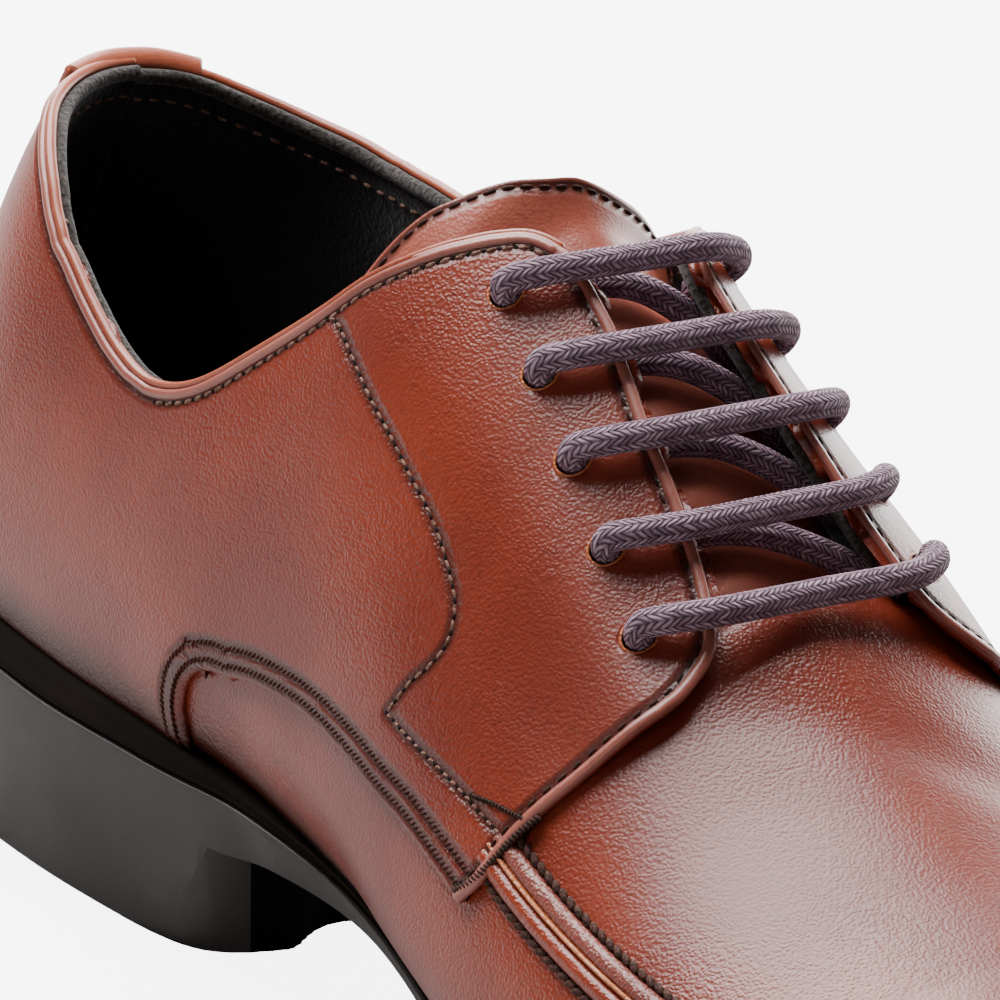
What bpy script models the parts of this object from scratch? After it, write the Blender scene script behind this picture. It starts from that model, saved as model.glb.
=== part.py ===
"""Derby shoe for a left foot, with a moulded sole unit. Metres, +Z up.

The toe points along +X, +Y is the outer (lateral) side and the floor is z = 0.
The whole upper comes from one last: half sections that stand on the feather line
(the edge where upper and sole meet) and close over the top. Their sizes are shares of
a few driving dimensions. Between the two fans at heel and toe they stand across the
shoe. Measures along the shoe start at the back of the heel.
"""
import math

import bpy
import bmesh
from mathutils import Vector

# Driving dimensions of the last, in metres.
UPPER_LENGTH = 0.292
BALL_WIDTH = 0.100
SEAT_HEIGHT = 0.0305
INSTEP_HEIGHT = 0.108

# Heel and toe ends of the last: how far each fan reaches and how square it is.
HEEL_FAN = 0.13
TOE_FAN = 0.75
BACK_BULGE_SHARE = 0.463
BACK_TUCK = 0.0032
HEEL_SQUARE = 2.0
TOE_SQUARE_INNER = 2.5
TOE_SQUARE_OUTER = 2.25
TOE_BULGE = 0.0012

# Leather and lining.
VAMP_WALL = 0.0016
QUARTER_STEP = 0.0014
FACING_LIFT = 0.0016
QUARTER_DROP = 0.0002
TONGUE_THICKNESS = 0.0026
STRIP_THICKNESS = 0.0013
CLEARANCE = 0.0003
UPPER_SEAT = QUARTER_DROP + CLEARANCE

# Eyelets and lace.
EYELETS = 5
EYELET_RADIUS = 0.0027
EYELET_START = 0.402 * UPPER_LENGTH
EYELET_PITCH = 0.0358 * UPPER_LENGTH
EYELET_INSET_INNER = 0.0166
EYELET_INSET_OUTER = 0.0150
EYELET_SPREAD = 0.0013
LACE_RADIUS = 0.0021
LACE_DEPTH = 0.00245
BAR_LEAD = 0.0042

# The lace's path through an eyelet: how far below and above the facing's face it passes,
# where it turns over, and how far the turn lies inward (share of the lace's radius).
PATH_BELOW_HOLE = 0.0010
PATH_ABOVE_HOLE = 0.0009
PATH_TURN = 0.0028
PATH_TURN_INWARD = 0.6

# Each bar stands this much higher than its rest halfway to the facing's edge and at the
# edge. The first is this share of the way from the eyelet.
BAR_CREST = 0.0007
BAR_CREST_SHARE = 0.4
BAR_EDGE_RISE = 0.0002
CROSSING_SHARES = (0.70, 0.35, 0.0, -0.35, -0.70)

# Sole unit.
LEDGE = 0.0042
WELT_THICKNESS = 0.0040
WELT_LAP = 0.0080
INSOLE_THICKNESS = 0.0026
BREAST_SHARE = 0.310
BREAST_SLANT = 0.28

# Heel breast in plan, hollow in the middle and rounded at the corners: how far out (share
# of BALL_WIDTH), how far back (share of UPPER_LENGTH), and how much it flares with height.
BREAST_PLAN = [(0.000, 0.0205, 0.00), (0.060, 0.0150, 0.00), (0.100, 0.0062, 0.05),
               (0.135, 0.0000, 0.18), (0.193, 0.0018, 0.38), (0.240, 0.0075, 0.38),
               (0.262, 0.0144, 0.38), (0.276, 0.0233, 0.38), (0.284, 0.0325, 0.38),
               (0.680, 0.0325, 0.38)]
TOE_LIFT_SHARE = 0.80
TOE_SPRING = 0.0085
HEEL_GROOVE_SHARE = 0.185
GROOVE_WIDTH = 0.0016
GROOVE_DEPTH = 0.0016

# Raised apron seam.
RIDGE_WIDTH = 0.0056
RIDGE_HEIGHT = 0.0016
RIDGE_STEPS = 14
RIDGE_START = 0.546
RIDGE_ROW_STEP = 0.02

# Cutters reach this far past what they cut, and the collar's cut blends from one side to
# the other within this share of BALL_WIDTH on either side of the middle.
CUTTER_REACH = 0.05
TOPLINE_BLEND = 0.16
PUNCH_DEPTH = 0.018

# Mesh fineness: stations in each fan and along the middle, rows below and above the bulge.
FAN_STEPS = 8
MIDDLE_STEPS = 24
LOW_ROWS = 3
HIGH_ROWS = 10
SOLE_STEPS = 48
LACE_SIDES = 2

# Points of a cut mesh that lie nearer than this are one.
WELD = 0.000002

# Half sections across the shoe. along is a share of UPPER_LENGTH, the widths are shares
# of BALL_WIDTH, feather_z is a share of SEAT_HEIGHT, and bulge_z and top_z are shares of
# INSTEP_HEIGHT. up and out say how full each side's shoulder is.
SECTION_COLUMNS = ("along", "feather_inner", "feather_outer", "bulge_inner", "bulge_outer",
                   "feather_z", "bulge_z", "top_z", "up_inner", "out_inner", "up_outer", "out_outer")
SECTIONS = [
    (0.13, 0.308, 0.318, 0.325, 0.340, 1.000, 0.426, 1.160, 1.80, 1.60, 1.80, 1.60),
    (0.20, 0.318, 0.330, 0.335, 0.352, 0.980, 0.417, 1.170, 1.60, 1.50, 1.60, 1.50),
    (0.27, 0.312, 0.335, 0.345, 0.365, 0.965, 0.407, 1.155, 1.65, 1.60, 1.65, 1.60),
    (0.34, 0.303, 0.345, 0.350, 0.375, 0.920, 0.398, 1.110, 1.80, 1.75, 1.76, 1.70),
    (0.41, 0.288, 0.355, 0.368, 0.378, 0.770, 0.360, 0.989, 2.00, 1.95, 1.83, 1.86),
    (0.48, 0.305, 0.395, 0.405, 0.412, 0.600, 0.300, 0.866, 1.90, 1.85, 1.92, 1.98),
    (0.55, 0.350, 0.440, 0.435, 0.450, 0.470, 0.262, 0.727, 1.85, 1.75, 2.20, 2.30),
    (0.62, 0.410, 0.485, 0.455, 0.494, 0.380, 0.240, 0.611, 1.90, 1.80, 2.15, 2.15),
    (0.69, 0.455, 0.515, 0.475, 0.525, 0.340, 0.227, 0.532, 2.00, 1.90, 2.10, 2.00),
    (0.75, 0.470, 0.510, 0.480, 0.520, 0.335, 0.213, 0.486, 2.20, 1.80, 2.20, 1.85),
]

# Height of the feather line under the toe, shares of UPPER_LENGTH and SEAT_HEIGHT.
TOE_FEATHER = [(0.75, 0.335), (0.82, 0.370), (0.88, 0.440), (0.94, 0.530), (1.0, 0.620)]

# Collar and facing tops seen from the side: shares of UPPER_LENGTH and INSTEP_HEIGHT.
TOPLINE_INNER = [(0.000, 0.898), (0.030, 0.894), (0.060, 0.868), (0.090, 0.836), (0.134, 0.750),
                 (0.170, 0.700), (0.208, 0.666), (0.235, 0.672), (0.268, 0.722), (0.300, 0.790),
                 (0.340, 0.910), (0.366, 0.970), (0.390, 1.004), (0.408, 1.014),
                 (0.420, 1.006), (0.427, 0.980)]
TOPLINE_OUTER = [(0.000, 0.898), (0.030, 0.890), (0.060, 0.852), (0.110, 0.832), (0.170, 0.828),
                 (0.225, 0.826), (0.270, 0.846), (0.310, 0.888), (0.345, 0.930), (0.372, 0.960),
                 (0.392, 0.980), (0.408, 0.988), (0.420, 0.982), (0.427, 0.960)]

# How far the facings' edges lie from the middle: along is a share of UPPER_LENGTH, and the
# inner and outer side are shares of BALL_WIDTH.
THROAT_COLUMNS = ("along", "inner", "outer")
THROAT = [(0.390, 0.092, 0.055), (0.430, 0.098, 0.068), (0.500, 0.118, 0.102),
          (0.555, 0.140, 0.140), (0.575, 0.172, 0.180), (0.585, 0.225, 0.238),
          (0.590, 0.300, 0.310), (0.640, 0.330, 0.330)]
VAMP_START = 0.570
VAMP_HALF_WIDTH = 0.30

# Lower and front edge of the quarter, from the side: shares of UPPER_LENGTH and INSTEP_HEIGHT.
QUARTER_EDGE = [(0.293, 0.200), (0.293, 0.310), (0.299, 0.357), (0.315, 0.391), (0.337, 0.408),
                (0.370, 0.420), (0.410, 0.416), (0.450, 0.402), (0.490, 0.385), (0.535, 0.355),
                (0.549, 0.392), (0.563, 0.462), (0.573, 0.525), (0.583, 0.585), (0.612, 0.800)]

# Apron seam: along (share of UPPER_LENGTH) and how far up the section it lies, 0 at the
# bulge and 1 at the ridge line.
APRON_SEAM = [(0.50, 0.23), (0.56, 0.25), (0.60, 0.27), (0.64, 0.30), (0.69, 0.33), (0.75, 0.36)]
APRON_TOE = 0.36

# The tongue in plan: shares of UPPER_LENGTH and BALL_WIDTH.
TONGUE_OUTLINE = [(0.313, -0.256), (0.319, -0.232), (0.331, -0.182), (0.345, -0.145),
                  (0.360, -0.088), (0.367, -0.042), (0.370, 0.031), (0.369, 0.090),
                  (0.364, 0.155), (0.364, 0.205), (0.378, 0.232), (0.430, 0.225), (0.480, 0.205),
                  (0.550, 0.165), (0.600, 0.140), (0.600, -0.140), (0.550, -0.165),
                  (0.480, -0.195), (0.400, -0.235), (0.335, -0.268), (0.320, -0.272)]

# Depth of the tongue below the last under the lace, where it rises to slip under the vamp,
# and its depth at the top, with the stretch over which it gets there.
TONGUE_DEPTH = 0.0051
TONGUE_RISE = (0.543, 0.569)
TONGUE_TOP_DEPTH = 0.0018
TONGUE_TOP_RISE = (0.355, 0.388)

# How far round from the back the strip may reach (share of UPPER_LENGTH), and its half
# width at heights given as shares of INSTEP_HEIGHT.
STRIP_FRONT = 0.07
BACK_STRIP = [(0.30, 0.0060), (0.60, 0.0070), (0.78, 0.0095), (0.86, 0.0125), (0.95, 0.0135)]

# How far the sole reaches outside the feather line (shares of LEDGE), how far its side
# leans in down to the floor (shares of BALL_WIDTH) and how thick the welt is (share of
# WELT_THICKNESS), from heel to toe. The waist is bevelled hard on the inner side.
SOLE_COLUMNS = ("along", "ledge_inner", "ledge_outer", "lean_inner", "lean_outer", "welt")
SOLE = [
    (0.000, 0.95, 0.95, 0.045, 0.045, 1.00),
    (0.130, 1.00, 1.00, 0.040, 0.040, 1.00),
    (0.200, 0.95, 1.00, 0.042, 0.035, 1.00),
    (0.270, 0.75, 0.95, 0.046, 0.036, 0.90),
    (0.300, 0.60, 0.92, 0.048, 0.038, 0.78),
    (0.325, 0.42, 0.88, 0.052, 0.042, 0.62),
    (0.345, 0.32, 0.85, 0.140, 0.095, 0.53),
    (0.410, 0.05, 0.75, 0.150, 0.090, 0.30),
    (0.480, 0.05, 0.80, 0.110, 0.080, 0.40),
    (0.550, 0.45, 0.95, 0.060, 0.050, 0.75),
    (0.620, 0.85, 1.00, 0.020, 0.020, 0.95),
    (0.690, 1.00, 1.00, 0.012, 0.012, 1.00),
    (1.000, 1.05, 1.05, 0.012, 0.012, 1.00),
]

# Underside of the waist from the breast of the heel to the tread: shares of UPPER_LENGTH
# and SEAT_HEIGHT.
WAIST_LINE = [(0.28, 0.575), (0.36, 0.575), (0.41, 0.560), (0.44, 0.530), (0.48, 0.450),
              (0.53, 0.290), (0.58, 0.120), (0.62, 0.000), (0.63, -0.020)]

LEATHER = (0.30, 0.075, 0.035)
BLACK_RUBBER = (0.012, 0.010, 0.010)
GREY_RUBBER = (0.060, 0.050, 0.048)
LINING = (0.020, 0.016, 0.014)
CORD = (0.065, 0.050, 0.054)

INNER, OUTER = -1, 1


def clear_scene():
    for item in list(bpy.data.objects):
        bpy.data.objects.remove(item, do_unlink=True)


def material(name, colour, roughness):
    made = bpy.data.materials.new(name)
    made.use_nodes = True
    shader = made.node_tree.nodes["Principled BSDF"]
    shader.inputs["Base Color"].default_value = (*colour, 1.0)
    shader.inputs["Roughness"].default_value = roughness
    return made


def curve_through(rows, at):
    """Smooth value at a place, through rows of (place, value)."""
    places = [row[0] for row in rows]
    values = [row[1] for row in rows]
    if at <= places[0]:
        return values[0]
    if at >= places[-1]:
        return values[-1]
    k = max(n for n in range(len(places) - 1) if places[n] <= at)
    gap = places[k + 1] - places[k]

    def slope(n):
        low, high = max(n - 1, 0), min(n + 1, len(places) - 1)
        return (values[high] - values[low]) / (places[high] - places[low])

    t = (at - places[k]) / gap
    start, end = slope(k) * gap, slope(k + 1) * gap
    rise = values[k + 1] - values[k]
    return values[k] + start * t + (3 * rise - 2 * start - end) * t**2 + (start + end - 2 * rise) * t**3


def smooth_step(value, low, high):
    t = min(max((value - low) / (high - low), 0.0), 1.0)
    return t * t * (3 - 2 * t)


def table_value(table, columns, name, along):
    column = columns.index(name)
    return curve_through([(row[0], row[column]) for row in table], along)


def section(name, along):
    return table_value(SECTIONS, SECTION_COLUMNS, name, along)


def side_name(side):
    return "inner" if side == INNER else "outer"


def feather_height(along):
    rows = [(row[0], row[SECTION_COLUMNS.index("feather_z")]) for row in SECTIONS] + TOE_FEATHER[1:]
    return SEAT_HEIGHT * curve_through(rows, along)


def oval_reach(angle, forward, sideways, power):
    """Reach of a squared oval at an angle measured from straight forward."""
    ahead = (abs(math.cos(angle)) / forward) ** power
    beside = (abs(math.sin(angle)) / sideways) ** power
    return (ahead + beside) ** (-1 / power)


class Station:
    """One upright half section of the last."""

    def __init__(self, place, side):
        """place runs 0..1 in the heel fan, 1..2 in the middle and 2..3 in the toe fan."""
        name = side_name(side)
        along = HEEL_FAN + (TOE_FAN - HEEL_FAN) * min(max(place - 1, 0), 1)
        self.side = side
        self.foot = (along * UPPER_LENGTH, 0.0)
        self.heading = (0.0, side)
        self.feather = BALL_WIDTH * section("feather_" + name, along)
        self.bulge = BALL_WIDTH * section("bulge_" + name, along)
        self.bulge_z = INSTEP_HEIGHT * section("bulge_z", along)
        self.top_z = INSTEP_HEIGHT * section("top_z", along)
        self.up = section("up_" + name, along)
        self.out = section("out_" + name, along)
        self.slope = 0.0
        self.feather_z = feather_height(along)
        if place < 1:
            self.turn_at_heel(place)
        if place > 2:
            self.turn_at_toe(place - 2)

    def turn_at_heel(self, share):
        angle = share * math.pi / 2
        back = HEEL_FAN * UPPER_LENGTH
        self.heading = (-math.cos(angle), self.side * math.sin(angle))
        self.feather = oval_reach(angle, back - BACK_TUCK, self.feather, HEEL_SQUARE)
        self.bulge = oval_reach(angle, back - QUARTER_STEP, self.bulge, HEEL_SQUARE)
        ease = smooth_step(share, 0, 1)
        self.bulge_z += (1 - ease) * (BACK_BULGE_SHARE * INSTEP_HEIGHT - self.bulge_z)
        self.up += (1 - ease) * (2.0 - self.up)
        self.out += (1 - ease) * (1.8 - self.out)

    def turn_at_toe(self, share):
        angle = (1 - share) * math.pi / 2
        front = (1 - TOE_FAN) * UPPER_LENGTH
        power = TOE_SQUARE_INNER if self.side == INNER else TOE_SQUARE_OUTER
        self.heading = (math.cos(angle), self.side * math.sin(angle))
        seat = self.feather_z
        self.feather = oval_reach(angle, front, self.feather, power)
        self.bulge = oval_reach(angle, front + TOE_BULGE, self.bulge, power)
        along = TOE_FAN + self.feather * self.heading[0] / UPPER_LENGTH
        self.feather_z = feather_height(along)
        self.bulge_z += 0.6 * (self.feather_z - seat)
        step = 0.01
        before = section("top_z", TOE_FAN - step) * INSTEP_HEIGHT
        self.slope = (self.top_z - before) / (step * UPPER_LENGTH) * self.heading[0]
        ease = smooth_step(share, 0, 1)
        self.up += ease * 0.2
        self.out -= ease * 0.2

    def point(self, row):
        """row runs -1..0 from the feather line to the bulge and 0..1 to the ridge line."""
        if row <= 0:
            width = self.feather + (self.bulge - self.feather) * (1 - row * row)
            height = self.bulge_z + row * (self.bulge_z - self.feather_z)
        else:
            turn = min(row, 1.0) * math.pi / 2
            width = self.bulge * max(math.cos(turn), 0.0) ** (2 / self.out)
            top = self.top_z + self.slope * width * (1 - width / self.bulge)
            height = self.bulge_z + (top - self.bulge_z) * math.sin(turn) ** (2 / self.up)
        return Vector((self.foot[0] + self.heading[0] * width, self.heading[1] * width, height))

    def row_at_width(self, width):
        """The row above the bulge where the half section is this wide."""
        share = min(max(width / self.bulge, 0.0), 1.0)
        return math.acos(share ** (self.out / 2)) / (math.pi / 2)


PLACES = ([k / FAN_STEPS for k in range(FAN_STEPS)]
          + [1 + k / MIDDLE_STEPS for k in range(MIDDLE_STEPS)]
          + [2 + k / FAN_STEPS for k in range(FAN_STEPS + 1)])
ROWS = ([-1 + k / LOW_ROWS for k in range(LOW_ROWS)]
        + [k / HIGH_ROWS for k in range(HIGH_ROWS + 1)])


def place_along(along):
    """The place of an upright section in the middle of the last."""
    return 1 + (along - HEEL_FAN) / (TOE_FAN - HEEL_FAN)


def last_point(along, width, lift):
    """Point and outward normal on the last's upper side, lift metres off its surface."""
    def bare(x_share, y):
        side = OUTER if y > 0 else INNER
        half = Station(place_along(x_share), side)
        return half.point(half.row_at_width(abs(y)))

    step = 0.0005
    here = bare(along, width)
    ahead = bare(along + step / UPPER_LENGTH, width) - bare(along - step / UPPER_LENGTH, width)
    beside = bare(along, width + step) - bare(along, width - step)
    normal = ahead.cross(beside).normalized()
    return here + normal * lift, normal


def new_object(name, mesh_or_curve, collection, finish=None):
    made = bpy.data.objects.new(name, mesh_or_curve)
    collection.objects.link(made)
    if finish is not None:
        made.data.materials.append(finish)
    return made


def object_from_bmesh(name, bm, collection, finish=None):
    bmesh.ops.recalc_face_normals(bm, faces=bm.faces)
    mesh = bpy.data.meshes.new(name)
    bm.to_mesh(mesh)
    bm.free()
    return new_object(name, mesh, collection, finish)


def hide_cutter(item):
    item.hide_render = True
    item.display_type = "WIRE"
    return item


def last_cage():
    """Closed last: the wall's grid, and strips across its open underside."""
    bm = bmesh.new()
    grid = {}
    last_row = len(ROWS) - 1
    ends = (0, len(PLACES) - 1)

    def vertex(side, station, row):
        on_centre = station in ends or row == last_row
        if row == last_row:
            station = min(max(station, FAN_STEPS), FAN_STEPS + MIDDLE_STEPS)
        key = (0 if on_centre else side, station, row)
        if key not in grid:
            grid[key] = bm.verts.new(Station(PLACES[station], side).point(ROWS[row]))
        return grid[key]

    def face(corners):
        ring = [v for n, v in enumerate(corners) if v is not corners[n - 1]]
        if len(ring) > 2:
            bm.faces.new(ring)

    for side in (INNER, OUTER):
        for station in range(len(PLACES) - 1):
            for row in range(last_row):
                ring = [vertex(side, station, row), vertex(side, station + 1, row),
                        vertex(side, station + 1, row + 1), vertex(side, station, row + 1)]
                face(ring if side == INNER else ring[::-1])
    for station in range(len(PLACES) - 1):
        face([vertex(OUTER, station, 0), vertex(OUTER, station + 1, 0),
              vertex(INNER, station + 1, 0), vertex(INNER, station, 0)])
    bmesh.ops.recalc_face_normals(bm, faces=bm.faces)
    bm.normal_update()
    return bm, grid


def last_form(name, collection, offset, skirt=0.0):
    """The last grown or shrunk by offset(point), its underside lowered by skirt."""
    bm, grid = last_cage()
    feather = [v for key, v in grid.items() if key[2] == 0]
    shift = {}
    for key, v in grid.items():
        low = key[2] <= LOW_ROWS
        normal = Vector((v.normal.x, v.normal.y, 0.0)).normalized() if low else v.normal
        shift[v] = normal * offset(v.co)
    for v, move in shift.items():
        v.co += move
    for v in feather:
        v.co.z -= skirt
    return object_from_bmesh(name, bm, collection)


def facing_share(point):
    """How far a place belongs to the facings, which stand off the tongue."""
    along = smooth_step(point.x, 0.300 * UPPER_LENGTH, 0.370 * UPPER_LENGTH)
    return along * smooth_step(-abs(point.y), -0.34 * BALL_WIDTH, -0.24 * BALL_WIDTH)


def quarter_offset(point):
    return QUARTER_STEP + FACING_LIFT * facing_share(point)


def wall_offset(point):
    under_facing = 1 - smooth_step(point.x, 0.552 * UPPER_LENGTH, VAMP_START * UPPER_LENGTH)
    return -VAMP_WALL + FACING_LIFT * facing_share(point) * under_facing


def tongue_offset(point):
    """The tongue lies deep under the lace, and higher at its top and under the vamp."""
    along = point.x / UPPER_LENGTH
    under_vamp = VAMP_WALL + CLEARANCE
    front = (TONGUE_DEPTH - under_vamp) * smooth_step(along, *TONGUE_RISE)
    top = (TONGUE_DEPTH - TONGUE_TOP_DEPTH) * (1 - smooth_step(along, *TONGUE_TOP_RISE))
    return -TONGUE_DEPTH + front + top


def prism(name, collection, outline, axis, low, high):
    """Closed prism: an outline of two coordinates, drawn out along the third axis."""
    bm = bmesh.new()

    def lifted(pair, level):
        if axis == "Y":
            return (pair[0], level, pair[1])
        return (pair[0], pair[1], level)

    floor = [bm.verts.new(lifted(pair, low)) for pair in outline]
    base = bm.faces.new(floor)
    drawn = bmesh.ops.extrude_face_region(bm, geom=[base])
    rise = Vector(lifted((0, 0), high - low)) if axis == "Y" else Vector((0, 0, high - low))
    moved = [item for item in drawn["geom"] if isinstance(item, bmesh.types.BMVert)]
    bmesh.ops.translate(bm, vec=rise, verts=moved)
    return hide_cutter(object_from_bmesh(name, bm, collection))


def tidy_mesh(mesh):
    """Weld the near-doubles and drop the slivers that a cut leaves."""
    bm = bmesh.new()
    bm.from_mesh(mesh)
    bmesh.ops.remove_doubles(bm, verts=bm.verts, dist=WELD)
    bmesh.ops.dissolve_degenerate(bm, edges=bm.edges, dist=WELD)
    bm.to_mesh(mesh)
    bm.free()


def combine(target, tool, operation):
    """Apply one exact boolean and drop the tool."""
    modifier = target.modifiers.new("combine", "BOOLEAN")
    modifier.operation = operation
    modifier.solver = "EXACT"
    modifier.object = tool
    result = bpy.data.meshes.new_from_object(target.evaluated_get(bpy.context.evaluated_depsgraph_get()))
    target.modifiers.clear()
    tidy_mesh(result)
    old = target.data
    target.data = result
    bpy.data.meshes.remove(old)
    bpy.data.objects.remove(tool, do_unlink=True)
    return target


def refined(rows, steps=4):
    """More rows on the smooth curve through a table of two columns."""
    out = []
    for (first, _), (second, _) in zip(rows, rows[1:]):
        for k in range(steps):
            at = first + (second - first) * k / steps
            out.append((at, curve_through(rows, at)))
    return out + [rows[-1]]


def topline_cutter(collection):
    """Everything above the collar and the facing tops, blending from side to side."""
    ceiling = 2 * INSTEP_HEIGHT
    reach = 0.1
    steps = 48
    end = TOPLINE_INNER[-1][0]
    places = [-reach] + [end * k / steps for k in range(steps + 1)]
    blend = TOPLINE_BLEND * BALL_WIDTH
    widths = [-BALL_WIDTH, -blend, -blend / 2, 0.0, blend / 2, blend, BALL_WIDTH]
    bm = bmesh.new()
    floor = []
    roof = []
    for place in places:
        inner = curve_through(TOPLINE_INNER, place)
        outer = curve_through(TOPLINE_OUTER, place)
        floor.append([])
        roof.append([])
        for width in widths:
            share = smooth_step(width, -blend, blend)
            height = INSTEP_HEIGHT * (inner + (outer - inner) * share)
            floor[-1].append(bm.verts.new((place * UPPER_LENGTH, width, height)))
            roof[-1].append(bm.verts.new((place * UPPER_LENGTH, width, ceiling)))
    close_slab(bm, floor, roof)
    return hide_cutter(object_from_bmesh("topline", bm, collection))


def close_slab(bm, floor, roof):
    """Faces of a slab between two grids of corners that match."""
    for grid in (floor, roof):
        for first, second in zip(grid, grid[1:]):
            for k in range(len(first) - 1):
                bm.faces.new((first[k], first[k + 1], second[k + 1], second[k]))
    edges = [(floor[0], roof[0]), (floor[-1], roof[-1])]
    edges += [([row[k] for row in floor], [row[k] for row in roof]) for k in (0, -1)]
    for low, high in edges:
        for k in range(len(low) - 1):
            bm.faces.new((low[k], low[k + 1], high[k + 1], high[k]))


def throat_edge(along, side):
    """Distance of one facing's edge from the middle."""
    return BALL_WIDTH * table_value(THROAT, THROAT_COLUMNS, side_name(side), along)


def throat_cutter(collection):
    """The gap between the facings in plan, open to the collar."""
    start = THROAT[0][0]
    end = THROAT[-1][0]
    steps = 30
    places = [start - CUTTER_REACH] + [start + (end - start) * k / steps for k in range(steps + 1)]
    outline = [(along * UPPER_LENGTH, INNER * throat_edge(along, INNER)) for along in places]
    outline += [(along * UPPER_LENGTH, throat_edge(along, OUTER)) for along in reversed(places)]
    return prism("throat", collection, outline, "Z", 0.4 * INSTEP_HEIGHT, 2 * INSTEP_HEIGHT)


def vamp_cutter(collection):
    """Room behind the vamp's upper edge, where the tongue takes over."""
    half = VAMP_HALF_WIDTH * BALL_WIDTH
    front = VAMP_START * UPPER_LENGTH
    outline = [(0.0, -half), (front, -half), (front, half), (0.0, half)]
    return prism("vamp_edge", collection, outline, "Z", 0.43 * INSTEP_HEIGHT, 2.1 * INSTEP_HEIGHT)


def make_quarters(collection):
    quarters = last_form("quarters", collection, quarter_offset, skirt=QUARTER_DROP)
    edge = [(along * UPPER_LENGTH, height * INSTEP_HEIGHT) for along, height in QUARTER_EDGE]
    back = -0.1 * UPPER_LENGTH
    outline = [(back, -0.01), (edge[0][0], -0.01)] + edge
    outline += [(edge[-1][0], 2 * INSTEP_HEIGHT), (back, 2 * INSTEP_HEIGHT)]
    side_view = prism("quarter_edge", collection, outline, "Y", -BALL_WIDTH, BALL_WIDTH)
    combine(quarters, side_view, "INTERSECT")
    combine(quarters, throat_cutter(collection), "DIFFERENCE")
    return quarters


def seam_row(along):
    return curve_through(APRON_SEAM, along)


def make_ridge(collection):
    """The raised apron seam, from the quarter round the toe to the other quarter."""
    track = []
    start = place_along(RIDGE_START)
    middle = [start + (2 - start) * k / RIDGE_STEPS for k in range(RIDGE_STEPS)]
    toe = [2 + k / FAN_STEPS for k in range(FAN_STEPS + 1)]
    for place in middle + toe:
        along = HEEL_FAN + (TOE_FAN - HEEL_FAN) * (min(place, 2) - 1)
        row = seam_row(along) if place <= 2 else APRON_TOE
        track.append((place, row))
    points = [(INNER, place, row) for place, row in track]
    points += [(OUTER, place, row) for place, row in reversed(track[:-1])]
    spine = []
    for side, place, row in points:
        half = Station(place, side)
        across = half.point(row + RIDGE_ROW_STEP) - half.point(row - RIDGE_ROW_STEP)
        outward = Vector((half.heading[0], half.heading[1], 1.0))
        spine.append((half.point(row), across.normalized(), outward))
    bm = bmesh.new()
    rings = []
    sink = VAMP_WALL / 2
    profile = [(-0.60, -sink), (-0.50, 0.2 * RIDGE_HEIGHT), (-0.30, RIDGE_HEIGHT),
               (0.30, RIDGE_HEIGHT), (0.50, 0.2 * RIDGE_HEIGHT), (0.60, -sink)]
    for n, (centre, across, outward) in enumerate(spine):
        ahead = (spine[min(n + 1, len(spine) - 1)][0] - spine[max(n - 1, 0)][0]).normalized()
        normal = ahead.cross(across).normalized()
        if normal.dot(outward) < 0:
            normal = -normal
        rings.append([bm.verts.new(centre + across * (side_share * RIDGE_WIDTH) + normal * height)
                      for side_share, height in profile])
    for first, second in zip(rings, rings[1:]):
        for k in range(len(profile)):
            nxt = (k + 1) % len(profile)
            bm.faces.new((first[k], second[k], second[nxt], first[nxt]))
    bm.faces.new(rings[0])
    bm.faces.new(rings[-1][::-1])
    return object_from_bmesh("ridge", bm, collection)


def eyelet_inset(number, side):
    """Distance of an eyelet from the shoe's middle, in plan."""
    first = EYELET_INSET_INNER if side == INNER else EYELET_INSET_OUTER
    return first + number * EYELET_SPREAD


def eyelet(number, side):
    """Place of one eyelet on the facing's outer face, and the way out of it."""
    along = (EYELET_START + number * EYELET_PITCH) / UPPER_LENGTH
    width = side * eyelet_inset(number, side)
    return last_point(along, width, QUARTER_STEP + FACING_LIFT)


def punch_eyelets(target, collection):
    for number in range(EYELETS):
        for side in (INNER, OUTER):
            centre, normal = eyelet(number, side)
            bm = bmesh.new()
            bmesh.ops.create_cone(bm, cap_ends=True, segments=14, radius1=EYELET_RADIUS,
                                  radius2=EYELET_RADIUS, depth=PUNCH_DEPTH)
            turn = Vector((0, 0, 1)).rotation_difference(normal).to_matrix()
            bmesh.ops.rotate(bm, verts=bm.verts, matrix=turn)
            bmesh.ops.translate(bm, verts=bm.verts, vec=centre)
            punch = hide_cutter(object_from_bmesh("punch", bm, collection))
            combine(target, punch, "DIFFERENCE")


def make_upper(parts, cutters, finish):
    upper = last_form("upper", cutters, lambda point: 0.0)
    combine(upper, vamp_cutter(cutters), "DIFFERENCE")
    combine(upper, make_ridge(cutters), "UNION")
    combine(upper, make_quarters(cutters), "UNION")
    combine(upper, last_form("hollow", cutters, wall_offset, skirt=0.006), "DIFFERENCE")
    combine(upper, topline_cutter(cutters), "DIFFERENCE")
    punch_eyelets(upper, cutters)
    cutters.objects.unlink(upper)
    parts.objects.link(upper)
    upper.data.materials.clear()
    upper.data.materials.append(finish)
    return upper


def along_at(place, side):
    """Share of the upper's length reached by the feather line at a place."""
    half = Station(place, side)
    return (half.foot[0] + half.heading[0] * half.feather) / UPPER_LENGTH


def sole_value(name, place, side):
    return table_value(SOLE, SOLE_COLUMNS, name, along_at(place, side))


def edge_point(place, side, outside, above):
    """Point some way outside the feather line and above its height there."""
    half = Station(place, side)
    reach = half.feather + outside
    x = half.foot[0] + half.heading[0] * reach
    return Vector((x, half.heading[1] * reach, feather_height(x / UPPER_LENGTH) + above))


def ledge_at(place, side):
    return LEDGE * sole_value("ledge_" + side_name(side), place, side)


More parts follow.
